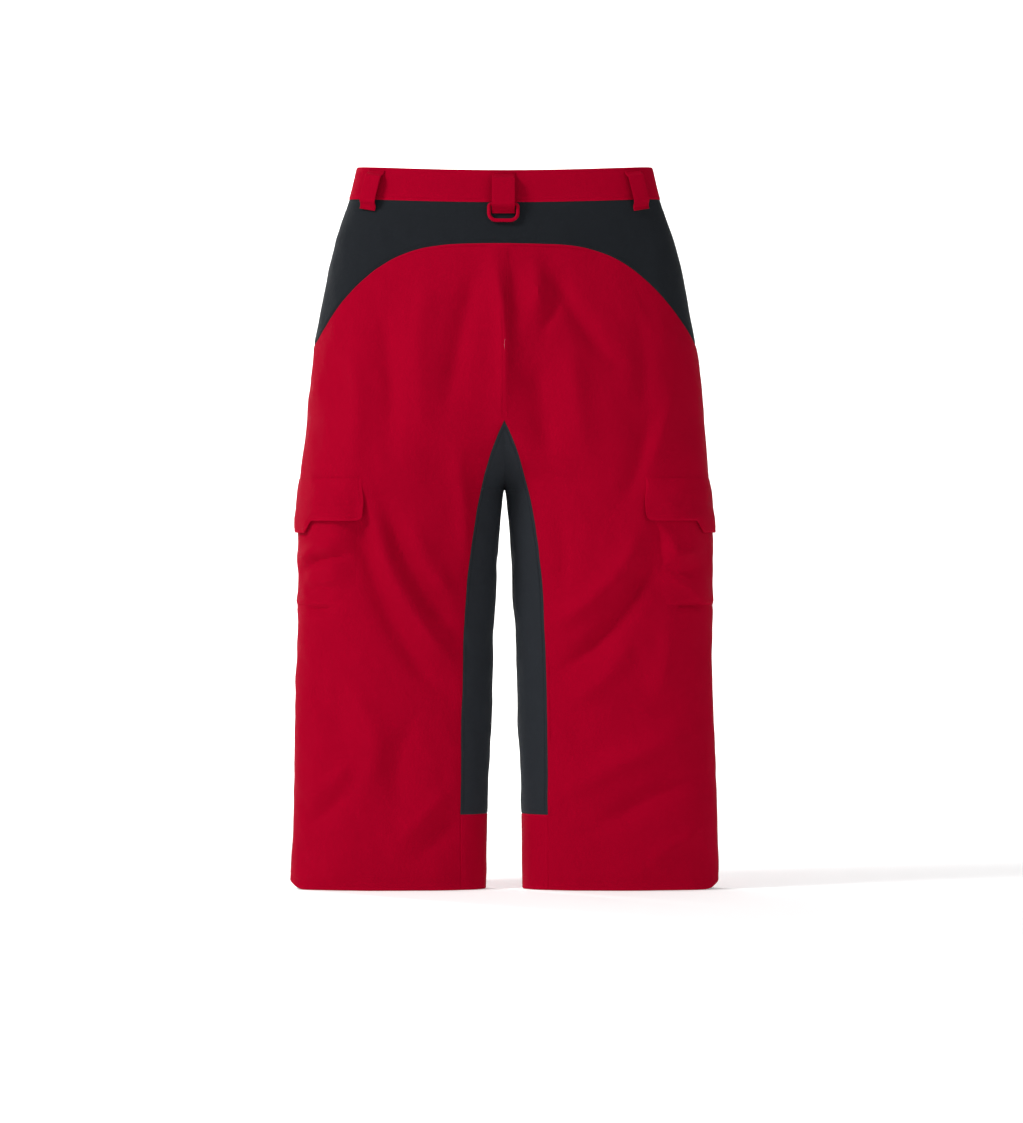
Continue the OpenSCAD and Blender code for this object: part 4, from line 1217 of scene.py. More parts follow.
class PANTS_OT_waistband(PantsPiece, bpy.types.Operator):
    """Waistband in three lengths, and its facing inside."""

    bl_idname = "pants.waistband"
    bl_label = "Waistband"

    def execute(self, context):
        _, gain, _, _, _ = sizes()
        v = steps(BAND_H, 3.0)[:, None]

        def bulge(x, z, turn, gap):
            """The band's two layers puff a little between their rows of stitching, with slight waves."""
            world = np.stack([x, turn, z], -1)
            return 0.5 * ease(gap / 12) + 0.35 * noise(world, (26, 22, 30), 12)

        u = steps(230.0, 3.6)
        turn = 90 * u
        z = -dip(True, turn) - BAND_H * v
        turn2 = np.concatenate([turn, turn[-2::-1]])
        z2 = np.concatenate([z, z[:, -2::-1]], 1)
        side = np.concatenate([np.ones(len(turn)), -np.ones(len(turn) - 1)])
        back = Cloth(side, turn2, z2, BAND_PROUD, 3.0, "lrtb", gain, roll=0.7, extra=bulge)
        sewn("waistband_back_fabric", [back], "red_shell", "waistband_back")
        for tag, s in SIDES:
            turn = np.maximum(90 * u, 1e-4)
            turn[-1] = turn_at(0.3, -BAND_H / 2)
            z = -dip(False, turn) - BAND_H * v
            front = Cloth(s, -turn, z, BAND_PROUD, 3.0, "lrtb", gain, roll=0.7, extra=bulge)
            sewn(f"waistband_front_fabric_{tag}", [front], "red_shell", f"waistband_front_{tag}")
        # Facing: one strip inside, right round from the left of the fly to its right
        w = steps(230.0, 5.0)
        a = np.concatenate([-90 * (1 - w) - 1e-4, (90 * w)[1:]])
        a = np.concatenate([a, a[-2::-1]])
        side = np.concatenate([np.ones((len(a) + 1) // 2), -np.ones((len(a)) // 2)])
        back_side = a >= 0
        z = -dip(back_side, a) - 1.0 - (BAND_H - 2) * steps(BAND_H, 4.0)[:, None]
        facing = Cloth(side, a, z, BAND_PROUD - 3.3, 1.0, "lrtb", 0.0, stitch=3.0, roll=0.4)
        sewn("waistband_facing_fabric", [facing], "black_lining", "waistband_facing")
        return {"FINISHED"}


def strap(name, place, width, height, room, x, finish, node):
    """A belt loop: a flat strip of folded cloth, sewn at its two ends, standing off the band between."""
    t = 1.6
    foot = 6.0
    line = [
        (t / 2 + 0.1, 0.2), (t / 2, foot * 0.6), (0.3 * room + t / 2, foot + 1.2),
        (0.86 * room + t / 2, foot + 4.5),
        (room + t / 2, foot + 9), (room + t / 2 + 0.3, height / 2), (room + t / 2, height - foot - 9),
        (0.86 * room + t / 2, height - foot - 4.5), (0.3 * room + t / 2, height - foot - 1.2),
        (t / 2, height - foot * 0.6), (t / 2 + 0.1, height - 0.2),
    ]
    path2 = smooth_path(line, 46)
    path = np.stack([np.full(len(path2), x), path2[:, 0], path2[:, 1]], -1)
    a = rounded(width, t, 0.75, 4)
    dense = []
    for k in range(len(a)):
        p, q = a[k], a[(k + 1) % len(a)]
        n = max(1, int(np.linalg.norm(q - p) / 2.2))
        dense.append(p + (q - p) * (np.arange(n) / n)[:, None])
    ring = np.vstack(dense)
    edge = width / 2 - np.abs(ring[:, 0])
    puff = 0.30 * ease(edge / 4) - 0.3 * np.exp(-((edge - 2.6) / 0.8) ** 2)
    ring[:, 1] += np.sign(ring[:, 1]) * puff
    wave = 0.35 * np.sin(np.linspace(0, 3 * math.pi, len(path)))
    path[:, 0] += wave * 0.5
    points, faces, uv = swept(path, ACROSS, ring, place=place)
    piece = make(name, points, faces, uv)
    dress(piece, finish, "pants", node)


LOOP_TURN_BACK, LOOP_TURN_FRONT = 33.0, 70.0
LOOP_FOOT, LOOP_ROOM, LOOP_W, CENTRE_LOOP_W = 60.0, 7.0, 24.0, 32.0
RING_W, RING_H, RING_WIRE, RING_TOP, RING_CLEAR, KEEPER_WALL = 45.0, 26.0, 5.0, 4.0, 0.08, 1.5
RING_X, RING_Z = -1.5, -57.0
RING_OFF = RING_WIRE / 2 + RING_CLEAR + KEEPER_WALL + 0.5
CENTRE_FOOT = -69.5
CENTRE_ROOM = RING_OFF + RING_WIRE / 2 + RING_CLEAR + KEEPER_WALL + 0.9


def ring_place():
    """The ring's frame, with its origin on the hinge line."""
    spot = tilt(90.0, RING_Z, RING_Z - 30, RING_OFF)
    pin, _ = at(90.0, RING_Z, RING_OFF)
    return Place(pin + np.array([RING_X, 0, 0]), spot.m[0], spot.m[1], spot.m[2])


class PANTS_OT_loops(PantsPiece, bpy.types.Operator):
    """Five belt loops and their bar tacks."""

    bl_idname = "pants.loops"
    bl_label = "Belt Loops"

    def execute(self, context):
        _, _, _, thread, _ = sizes()
        tacks = []
        for tag, s in SIDES:
            for where, turn, back in (("back", LOOP_TURN_BACK, True), ("front", -LOOP_TURN_FRONT, False)):
                d = float(dip(back, turn))
                place = tilt(turn, -d - 3, -d - LOOP_FOOT, BAND_PROUD + 0.6).mirrored(s)
                h = float(np.linalg.norm(at(turn, -3, 0)[0] - at(turn, -LOOP_FOOT, 0)[0]))
                strap(f"belt_loop_{where}_fabric_{tag}", place, LOOP_W, h, LOOP_ROOM, 0.0, "red_webbing",
                      f"belt_loop_{where}_{tag}")
                tacks.append((place, LOOP_W, h, 0.0))
        place = tilt(90.0, -DIP_BACK - 3, CENTRE_FOOT, BAND_PROUD + 0.4)
        h = float(np.linalg.norm(at(90.0, -DIP_BACK - 3, 0)[0] - at(90.0, CENTRE_FOOT, 0)[0]))
        strap("belt_loop_centre_fabric", place, CENTRE_LOOP_W, h, CENTRE_ROOM, -RING_X, "red_webbing",
              "belt_loop_centre")
        tacks.append((place, CENTRE_LOOP_W, h, -RING_X))
        shape, faces = capsule(2.6, thread)
        places, axes = [], []
        for place, width, h, x0 in tacks:
            for z in (2.6, h - 2.6):
                x = np.arange(-width / 2 + 2, width / 2 - 1.8, 0.75)
                lean = np.where(np.arange(len(x)) % 2, 0.35, -0.35)
                local = np.stack([x + x0, np.full(len(x), 1.75), np.full(len(x), z)], -1)
                ahead = np.stack([lean, np.zeros(len(x)), np.ones(len(x))], -1)
                ahead /= np.linalg.norm(ahead, axis=1, keepdims=True)
                out = np.broadcast_to([0.0, 1.0, 0.0], ahead.shape)
                frame3 = np.stack([ahead, np.cross(out, ahead), out], 1)
                places.append(place(local))
                axes.append(frame3 @ place.m)
        points, sets = scatter(shape, faces, np.vstack(places), np.vstack(axes))
        dress(make("bar_tacks", points, sets), "red_webbing", "pants")
        bpy.data.objects["bar_tacks"].data.materials[0] = material("red_thread")
        return {"FINISHED"}


class PANTS_OT_ring(PantsPiece, bpy.types.Operator):
    """D-ring and the folded tab that holds it."""

    bl_idname = "pants.ring"
    bl_label = "D-ring"

    def execute(self, context):
        place = ring_place()
        r = RING_WIRE / 2
        x, low, corner = RING_W / 2 - r, RING_H - r, 10.5
        path = []

        def arc(cx, cz, radius, a0, a1, n=9):
            a = np.radians(np.linspace(a0, a1, n))
            return [(cx + radius * math.cos(v), 0.0, cz + radius * math.sin(v)) for v in a]

        path += arc(x - RING_TOP, -RING_TOP, RING_TOP, 90, 0, 7)
        path += arc(x - corner, -low + corner, corner, 0, -90)
        path += arc(-x + corner, -low + corner, corner, -90, -180)
        path += arc(-x + RING_TOP, -RING_TOP, RING_TOP, 180, 90, 7)
        path = np.array(path)
        # Even spacing keeps the wire round on its straights
        loop = np.vstack([path, path[:1]])
        d = np.concatenate([[0], np.cumsum(np.linalg.norm(np.diff(loop, axis=0), axis=1))])
        spot = np.sort(np.unique(np.concatenate([np.linspace(0, d[-1], 90)[:-1], d[:-1]])).round(3))
        path = np.stack([np.interp(spot, d, loop[:, k]) for k in range(3)], -1)
        path = path[np.concatenate([[True], np.linalg.norm(np.diff(path, axis=0), axis=1) > 0.05])]
        a = np.linspace(0, 2 * math.pi, 20, endpoint=False)
        circle = np.stack([r * np.cos(a), r * np.sin(a)], -1)
        points, faces, _ = swept(path, (0.0, 1.0, 0.0), circle, closed=True, place=place)
        dress(make("d_ring_wire", points, faces, sharp=80), "red_plastic", "ring", "d_ring")
        # Keeper: webbing folded round the bar, its two tails sewn down together below the waistband
        hole = r + RING_CLEAR
        wall = KEEPER_WALL
        w = RING_W - RING_WIRE - 2 * RING_TOP - 0.4
        mid = hole + wall / 2
        turn = np.radians(np.linspace(-118, 205, 30))
        around = np.stack([mid * np.cos(turn), mid * np.sin(turn)], -1)
        u0, v0 = around[0]
        tail = np.array([[u0 * 0.4 - 1.2, v0 - 0.2], [-RING_OFF + 1.4, v0 - 0.8]])
        path2 = np.vstack([tail[::-1], around])
        path = np.stack([np.zeros(len(path2)), path2[:, 0], path2[:, 1]], -1)
        points, faces, uv = swept(path, ACROSS, rounded(w, wall, 0.6, 4), place=place)
        piece = make("ring_keeper_fabric", points, faces, uv)
        dress(piece, "red_webbing", "pants", "ring_keeper")
        return {"FINISHED"}


POCKET_FROM, POCKET_TO = -40.0, 69.0
MOUTH = -FLAP_TOP - 22
POCKET_TOP_OFF = 9.0
FLAP_OFF = 12.1
FLAP_CORNER, FLAP_STITCH = 9.0, 5.0
FLAP_SIDE = 6  # columns of the grid from a side edge to its stitching


def flap_foot(turn):
    """Lower edge of the flap: level at the ends, with a deeper notched tab between."""
    ramp = np.minimum((turn + 20) / 8, (35 - turn) / 10)
    return -FLAP_TOP - mix(FLAP_H, FLAP_TAB_H, ease(ramp))


class PANTS_OT_pockets(PantsPiece, bpy.types.Operator):
    """Cargo pockets, their flaps and the hook and loop under them."""

    bl_idname = "pants.pockets"
    bl_label = "Cargo Pockets"

    def execute(self, context):
        cloth, gain, pitch, thread, _ = sizes()
        shape, faces = capsule(2.6, thread)
        for tag, s in SIDES:
            wide = 245.0
            u = steps(wide, 3.6)
            turn = mix(POCKET_FROM, POCKET_TO, u)
            v = steps(MOUTH + POCKET_FOOT, 3.4)[:, None]
            z = mix(MOUTH, -POCKET_FOOT, v) * np.ones_like(turn)
            # The pouch stands off the thigh, and dies away towards its front, back and foot
            back_gap, front_gap = (1 - u) * wide, u * wide
            foot_gap = z + POCKET_FOOT
            swell = ease(back_gap / 46) * ease(front_gap / 40)
            swell = swell * ease((foot_gap + 0.4) / mix(8, 46, ease((turn - 26) / 30)))
            deep = 1.0 + 7.5 * hollow(z)
            off = -0.5 + 0.8 * ease(foot_gap / 4) * ease(back_gap / 30) + deep * swell

            inner_swell = ease(back_gap / 26) * ease(front_gap / 26)

            def pouch(x, height, a, gap):
                """Creases of the pouch, and a slack mouth."""
                world = np.stack([x, a, height], -1)
                slack = 0.6 * noise(world, (30, 16, 30), 21)
                return (2.2 * folded(POCKET_FOLDS, x, height) + slack) * ease(gap / 10) * inner_swell

            pocket = Cloth(s, turn, z, off, cloth, "tb", gain, roll=0.7, stitch=0, extra=pouch)
            sewn(f"cargo_pocket_fabric_{tag}", [pocket], "red_shell", f"cargo_pocket_{tag}")

            # Flap
            top = -FLAP_TOP + 5
            u = steps(wide + 4, 3.2)
            turn = mix(POCKET_FROM - 1, POCKET_TO + 1, u)
            gap_side = np.minimum(u, 1 - u) * (wide + 4)
            corner = rounded_end(gap_side, FLAP_CORNER)
            foot = flap_foot(turn) + corner
            v = steps(70.0, 2.6)[:, None]
            z = mix(top, foot, v)
            climb = ease((top - z) / 24.0)
            off = mix(0.25, 2.9, climb) + 7.6 * hollow(z)
            off = mix(0.25 + 6.4 * ease((top - z) / 56), off, ease(gap_side / 44))
            off = off + 3.0 * ease((-z - FLAP_TOP - 30) / 24)

            def flap_shape(x, height, a, gap):
                """The flap's layers puff between edge and stitching."""
                world = np.stack([x, a, height], -1)
                slack = 0.5 * noise(world, (34, 20, 26), 31)
                return 0.45 * ease(gap / 8) + slack * ease((-height - FLAP_TOP) / 20)

            flap = Cloth(s, turn, z, off, 1.9, "lrb", gain, stitch=FLAP_STITCH, roll=0.35, extra=flap_shape)
            nodes = [f"cargo_flap_{tag}", f"flap_root_{tag}"]
            piece = sewn(f"cargo_flap_fabric_{tag}", [flap], "red_shell", nodes)
            body = f"flap_{tag}"
            start = flap.outside[0, len(turn) // 2]
            end = start + np.array([0, 0, -20.0])
            blend_flap(piece, start, end)
            # Stitching round the flap's free edges
            p = flap.outside
            down, level = range(2, p.shape[0] - 6), range(7, p.shape[1] - 7)
            run = flap.uv[..., 0]
            height_left = flap.uv[-1:, :, 1] - flap.uv[:, :, 1]

            def stitched(distances):
                """Where along a row or column the stitching runs."""
                return np.argmin(np.abs(distances - FLAP_STITCH))

            across = [p[i, stitched(run[i])] for i in down]
            other = [p[i, stitched(run[i, -1] - run[i])] for i in down]
            low = [p[stitched(height_left[:, j]), j] for j in level]
            normal = unit_rows(np.cross(np.gradient(p, axis=1), np.gradient(p, axis=0)))
            if (normal[..., 0] * s).mean() < 0:
                normal = -normal
            n_low = [normal[stitched(height_left[:, j]), j] for j in level]
            n_a = [normal[i, FLAP_SIDE] for i in down]
            n_b = [normal[i, -FLAP_SIDE - 1] for i in down]
            places, axes = [], []
            for line, n in ((across, n_a), (other, n_b), (low, n_low)):
                m, a = stitch_row(np.array(line), np.array(n), pitch)
                places.append(m), axes.append(a)
            points, sets = scatter(shape, faces, np.vstack(places), np.vstack(axes))
            row = make(f"flap_stitching_{tag}", points, sets)
            dress(row, "red_shell", body)
            row.data.materials[0] = material("red_thread")
            blend_flap(row, start, end)

            # Hook and loop: one patch on the pouch, one under the flap
            turn = np.linspace(-6, 18, 30)
            z = np.linspace(-482, -500, 14)[:, None] * np.ones(30)
            patch = Cloth(s, turn, z, POCKET_TOP_OFF + 0.5, 0.8, "lrtb", gain, stitch=1.6, roll=0.2)
            sewn(f"pocket_tape_patch_{tag}", [patch], "hook_and_loop", f"pocket_tape_{tag}")
            patch = Cloth(s, turn, z, FLAP_OFF - 1.1, 0.5, "lrtb", gain, stitch=1.6, roll=-0.2)
            sewn(f"flap_tape_patch_{tag}", [patch], "hook_and_loop", f"flap_tape_{tag}", body=body)
        return {"FINISHED"}


def unit_rows(v):
    return v / np.maximum(np.linalg.norm(v, axis=-1, keepdims=True), 1e-9)


def blend_flap(piece, start, end):
    """Takes the piece off its body and bakes its place into its mesh."""
    piece.parent = None
    if "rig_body" in piece:
        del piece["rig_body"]
    tuple(start / 1000)
    tuple(end / 1000)
    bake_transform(piece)


class PANTS_OT_lining(PantsPiece, bpy.types.Operator):
    """Lining, hand pocket bags and snow gaiters."""

    bl_idname = "pants.lining"
    bl_label = "Lining and Gaiters"

    def execute(self, context):
        _, gain, _, _, _ = sizes()
        foot = -LENGTH + 14
        for tag, s in SIDES:
            rows = level_rows(-BAND_H - 9, foot, 9.0)
            w = np.linspace(0, 1, 34)
            z = np.broadcast_to(rows[:, None], (len(rows), len(w)))

            def end(front, zz):
                gap = np.where(front & (zz > -245), 22.0, 1.2)
                return np.where(zz < CROTCH - 1, 179.9, turn_at(gap, zz))

            front_turn = -end(True, z) * (1 - w) - 1e-4
            back_turn = end(False, z) * w
            turn = np.concatenate([front_turn, back_turn[:, 1:]], 1)
            z = np.concatenate([z, z[:, 1:]], 1)
            z = z - np.where(z > -60, DIP_FRONT, 0)
            lining = Cloth(s, turn, z, -LOFT, 1.0, "tb", 0.85 * gain, stitch=0, roll=0.3)
            sewn(f"lining_fabric_{tag}", [lining], "black_lining", f"lining_{tag}")

            turn = np.linspace(22, 58, 26)
            z = np.linspace(-95, -320, 50)[:, None] * np.ones(26)
            bag = Cloth(s, -turn, z, -3.4, 1.4, "lrb", gain, stitch=3.0, roll=0.3)
            sewn(f"hand_pocket_bag_fabric_{tag}", [bag], "gaiter_fabric", f"hand_pocket_bag_{tag}")
            self.gaiter(tag, s)
        return {"FINISHED"}

    def gaiter(self, tag, s):
        """A skirt of thin cloth inside the hem, gathered by its elastic: inset from the leg, plus pleats
        that grow towards the elastic."""
        base = -LENGTH + 20
        inset0 = LOFT + 1.0 + 4
        m = 220
        a = np.linspace(0, 2 * math.pi, m, endpoint=False)

        def ring(h, inset, pleat):
            z = base + h
            mid, half = float(middle(z)), float(outer(z) - middle(z))
            dep = np.where(np.sin(a) < 0, depth(True, z), depth(False, z))
            inset = inset + pleat * (0.5 + 0.5 * np.cos(a * 46 + 0.6 * np.sin(a * 5)))
            x = mid + (half - inset) * power(np.cos(a))
            y = (dep - inset) * power(np.sin(a))
            return np.stack([x * s, y, np.full(m, z)], -1)

        def tube(name, levels, thick, finish, node):
            out = np.stack([ring(h, i, p) for h, i, p in levels])
            inn = np.stack([ring(h, i + thick, p) for h, i, p in levels])
            r, c = out.shape[:2]
            quads = wall_quads(r, c, True)
            du = np.linalg.norm(np.roll(out, -1, 1) - out, axis=-1).cumsum(1)
            uv = np.stack([du, np.broadcast_to(np.array([h for h, _, _ in levels])[:, None], (r, c))], -1)
            piece = make(name, np.concatenate([out.reshape(-1, 3), inn.reshape(-1, 3)]), quads,
                         np.tile(uv.reshape(-1, 2), (2, 1)))
            dress(piece, finish, "pants", node)

        h = np.linspace(165, 22.2, 26)
        soft = 6 * ease((165 - h) / 143)
        levels = [(v, inset0 + i, 2.2 * ease((110 - v) / 88)) for v, i in zip(h, soft)]
        tube(f"gaiter_fabric_{tag}", levels, 0.8, "gaiter_fabric", f"gaiter_{tag}")
        h = np.linspace(22, 0, 9)
        tube(f"gaiter_elastic_band_{tag}", [(v, inset0 + 6, 1.2) for v in h], 1.5, "elastic",
             f"gaiter_elastic_{tag}")


FLY_TOP = -BAND_H - DIP_FRONT - 4
FLY_L = 172.0
COIL_W, COIL_T = 5.0, 2.0
FLY_Y = -2.3


def hand_zip_place():
    foot, _ = at(-ZIP_LOW_TURN, hip_edge(ZIP_LOW_TURN), 0)
    head, _ = at(-ZIP_TOP_TURN, float(band_foot(False, ZIP_TOP_TURN)) - 3, 0)
    up = unit(head - foot)
    _, n = at(-(ZIP_LOW_TURN + ZIP_TOP_TURN) / 2, -140, 0)
    out = unit(n - up * (n @ up))
    place = Place(foot + 8 * up + 2.2 * out, np.cross(out, up), out, up)
    return place, float(np.linalg.norm(head - foot)) - 14


def fly_place():
    place = tilt(-90.0, FLY_TOP, FLY_TOP - FLY_L + 4, 0)
    length = float(np.linalg.norm(at(-90.0, FLY_TOP, 0)[0] - at(-90.0, FLY_TOP - FLY_L + 4, 0)[0])) - 4
    return place, length


class PANTS_OT_zips(PantsPiece, bpy.types.Operator):
    """Coils, tapes and stops of the fly and the hand pockets."""

    bl_idname = "pants.zips"
    bl_label = "Zips"

    def execute(self, context):
        fly, fly_len = fly_place()
        self.coil("fly_zip_coil_teeth", fly, fly_len, FLY_Y, "fly_zip_coil")
        self.tapes("fly_zip_tape_fabric", fly, fly_len, FLY_Y - 0.85, ["fly_zip_tapes"])
        self.shield(fly, fly_len)
        hand, hand_len = hand_zip_place()
        for tag, s in SIDES:
            place = hand.mirrored(s)
            self.coil(f"hand_zip_coil_teeth_{tag}", place, hand_len, 0.0, f"hand_zip_{tag}")
            self.tapes(f"hand_zip_tape_fabric_{tag}", place, hand_len, -0.85, [])
        finish_node("fly_zip_stops", "zip_metal")
        return {"FINISHED"}

    def coil(self, name, place, length, y, node):
        """Coil teeth: small rounded hooks, from one side and the other in turn, and cords along them."""
        _, _, _, _, pitch = sizes()
        tooth, faces = capsule(COIL_W * 0.62, 0.62, 6)
        n = int(length / pitch)
        z = (np.arange(n) + 0.5) * length / n
        side = np.where(np.arange(n) % 2, 1.0, -1.0)
        local = np.stack([side * 0.9, np.full(n, y + COIL_T * 0.55), z], -1)
        lean = np.stack([np.ones(n), np.zeros(n), 0.12 * side], -1)
        lean /= np.linalg.norm(lean, axis=1, keepdims=True)
        out = np.broadcast_to([0.0, 1.0, 0.0], lean.shape)
        axes = np.stack([lean, out * 1.25, np.cross(lean, out)], 1)
        points, sets = scatter(tooth, faces, place(local), axes @ place.m)
        start = len(points)
        for x in (-COIL_W / 2 + 0.55, COIL_W / 2 - 0.55, 0.0):
            lift = 0.45 if x == 0 else 0.8
            path = np.stack([np.full(60, x), np.full(60, y + lift), np.linspace(0.2, length - 0.2, 60)], -1)
            a = np.linspace(0, 2 * math.pi, 8, endpoint=False)
            ring = np.stack([0.42 * np.cos(a), 0.42 * np.sin(a)], -1)
            p, f, _ = swept(path, ACROSS, ring, place=place)
            points = np.vstack([points, p])
            sets += [g + start for g in f]
            start += len(p)
        if node.startswith("hand"):
            for x, zz, w in ((1.75, length + 1.8, 2.4), (-1.75, length + 1.8, 2.4), (0.0, -2.3, 5.8)):
                path = np.stack([np.full(8, x), np.full(8, y + 1.25), zz + np.linspace(-1.6, 1.6, 8)], -1)
                p, f, _ = swept(path, ACROSS, rounded(w, 2.4, 0.6, 4), place=place)
                points = np.vstack([points, p])
                sets += [g + start for g in f]
                start += len(p)
        piece = make(name, points, sets)
        dress(piece, "black_coil", "pants", node)

    def tapes(self, name, place, length, y, nodes):
        """Two woven tapes beside the coil, each a thin strip with a corded inner edge."""
        points, sets, uvs, start = [], [], [], 0
        for sgn in (-1, 1):
            path = np.stack([np.full(60, sgn * (0.6 + (COIL_W / 2 + 6) / 2)), np.full(60, y + 0.4),
                             np.linspace(-6, length + 3.6, 60)], -1)
            p, f, uv = swept(path, ACROSS, rounded(COIL_W / 2 + 6 - 0.6, 0.7, 0.3, 3), place=place)
            points.append(p), uvs.append(uv)
            sets += [g + start for g in f]
            start += len(p)
        piece = make(name, np.vstack(points), sets, np.vstack(uvs))
        dress(piece, "black_tape", "pants", nodes)
        round((length + 9.6) / 1000, 4)

    def shield(self, place, length):
        """A flat guard of lining cloth behind the fly."""
        x = np.linspace(-20, 20, 20)
        z = np.linspace(-2, length + 2, 60)[:, None]
        y = FLY_Y - 2.6 + 0.25 * np.sin(z / 14) * np.cos(x / 9)
        grid = np.stack([np.broadcast_to(x, y.shape), y, np.broadcast_to(z, y.shape)], -1)
        inner = grid - np.array([0, 1.2, 0])
        r, c = y.shape
        quads = wall_quads(r, c)
        uv = np.tile(np.stack([grid[..., 0], grid[..., 2]], -1).reshape(-1, 2), (2, 1))
        points = place(np.concatenate([grid.reshape(-1, 3), inner.reshape(-1, 3)]))
        piece = make("fly_shield_fabric", points, quads, uv)
        dress(piece, "black_lining", "pants", "fly_shield")
        round((length + 4) / 1000, 4)


def finish_node(node, finish):
    """A CAD node that stays: all its material slots take the finish."""
    slots = frame["nodes"][node].data.materials
    if not slots:
        slots.append(material(finish))
    for k in range(len(slots)):
        slots[k] = material(finish)


class PANTS_OT_fittings(PantsPiece, bpy.types.Operator):
    """Sliders, pulls, lace hooks, the waist tab and its snaps."""

    bl_idname = "pants.fittings"
    bl_label = "Fittings"

    def execute(self, context):
        for node in ("fly_slider", "hand_slider_l", "hand_slider_r", "lace_hook_l", "lace_hook_r"):
            finish_node(node, "zip_metal")
        for node in ("fly_pull", "hand_pull_l", "hand_pull_r"):
            finish_node(node, "red_plastic")
        for node in ("snap_caps", "snap_studs"):
            finish_node(node, "snap_metal")
        self.tab()
        return {"FINISHED"}

    def tab(self):
        """The waist tab: a padded strip with a round end, its outline a stadium on one side, thickest
        between its stitching and thin at its rolled edge."""
        tab_h, y0, thick, hinge, end, corner = 36.0, 3.2, 2.0, 34.4, -46.0, 9.0
        z1 = -DIP_FRONT - (BAND_H + tab_h) / 2
        place = tilt(-90.0, z1 + tab_h, z1, BAND_PROUD)
        u = steps(hinge - end, 2.4, (0, 0.5, 1.1, 1.9, 2.9, 3.7, 4.4, 5.4))
        v = steps(tab_h, 2.2, (0, 0.5, 1.1, 1.9, 2.9, 3.7, 4.4, 5.4))[:, None]
        x = mix(hinge, end, u)
        gap_end = x - end
        cut = rounded_end(gap_end, corner)
        z = mix(cut, tab_h - cut, v)
        edge = np.minimum(np.minimum(z - cut, tab_h - cut - z), gap_end)
        puff = 0.5 * ease(edge / 7) - 0.9 * (1 - ease(edge / 2.0)) - 0.3 * np.exp(-((edge - 4) / 0.9) ** 2)
        top = y0 + thick + puff
        low = y0 - 0.15 * ease(edge / 4) + np.where(x > 22.4, -(y0 - 0.3) * ease((x - 22.4) / 6), 0)
        out = np.stack([np.broadcast_to(x, z.shape), top, z], -1)
        inn = np.stack([np.broadcast_to(x, z.shape), np.minimum(low, top - 0.3), z], -1)
        rr, cc = z.shape
        quads = wall_quads(rr, cc)
        uv = np.tile(np.stack([np.broadcast_to(x, z.shape), z], -1).reshape(-1, 2), (2, 1))
        points = place(np.concatenate([out.reshape(-1, 3), inn.reshape(-1, 3)]))
        piece = make("waist_tab_fabric", points, quads, uv)
        dress(piece, "red_shell", "pants", ["waist_tab", "waist_tab_root"])
        piece.parent = None
        del piece["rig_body"]
        start, stop = place([23.5, 3.6, 18.0]) / 1000, place([12.0, 3.6, 18.0]) / 1000
        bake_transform(piece)


class PANTS_OT_stitching(PantsPiece, bpy.types.Operator):
    """Topstitching beside the seams."""

    bl_idname = "pants.stitching"
    bl_label = "Stitching"

    def execute(self, context):
        _, gain, pitch, thread, _ = sizes()
        shape, faces = capsule(2.7, thread)
        groups = {"red": [], "black": []}

        def row(group, side, turn, z, shift, off=-0.05):
            line, n = seam_line(side, turn, z, shift, off, gain)
            groups[group].append(stitch_row(line, n, pitch))

        for _, s in SIDES:
            w = -s
            a = np.linspace(0.5, 89.6, 260)
            row("red", s, a, arch(a), -4.0 * w)
            row("black", s, a, arch(a), 4.0 * w)
            z = np.linspace(-ARCH_TOP - 6, -GUSSET_TOP + 4, 90)
            row("red", s, turn_at(0.02, z), z, -4.0 * w)
            z = np.linspace(-GUSSET_TOP - 8, -LENGTH + HEM_PATCH_H + 2, 260)
            for face in (1.0, -1.0):
                row("red", s, face * turn_at(gusset_edge(z), z), z, -4.0 * w * face)
                row("black", s, face * turn_at(gusset_edge(z), z), z, 4.0 * w * face)
                # Two rows round the hem
                t = np.linspace(2, 178, 240)
                for up in (13.0, 17.0):
                    zz = -LENGTH + hem_lift(t) + up
                    row("red", s, face * t, zz, 0.0)
                t = np.linspace(1.0, 89.0, 170)
                # The band's top and bottom edges, clear of the loops
                for up in (4.0, BAND_H - 4.0):
                    zz = -dip(face > 0, t) - up
                    row("red", s, face * t, zz, 0.0, BAND_PROUD - 0.1)
            z = np.linspace(-ARCH_SIDE - 4, -FLAP_TOP + 8, 60)
            row("red", s, np.full(60, 0.01), z, 4.0 * w)
            z = np.linspace(-POCKET_FOOT - 4, -LENGTH + 22, 110)
            row("red", s, np.full(110, 0.01), z, 4.0 * w)
            t = np.linspace(1.0, ZIP_LOW_TURN - 1, 60)
            row("red", s, -t, hip_edge(t), 4.0 * w)
            z = np.linspace(-60, -ARCH_SIDE + 4, 70)
            row("black", s, np.full(70, 0.01), z, 4.0 * w)
        for group, rows in groups.items():
            places, axes = np.vstack([r[0] for r in rows]), np.vstack([r[1] for r in rows])
            half = len(places) // 2
            for k, part in (("a", slice(0, half)), ("b", slice(half, None))):
                points, sets = scatter(shape, faces, places[part], axes[part])
                piece = make(f"{group}_stitching_{k}", points, sets)
                dress(piece, f"{group}_shell", "pants")
                piece.data.materials[0] = material(f"{group}_thread")
        return {"FINISHED"}


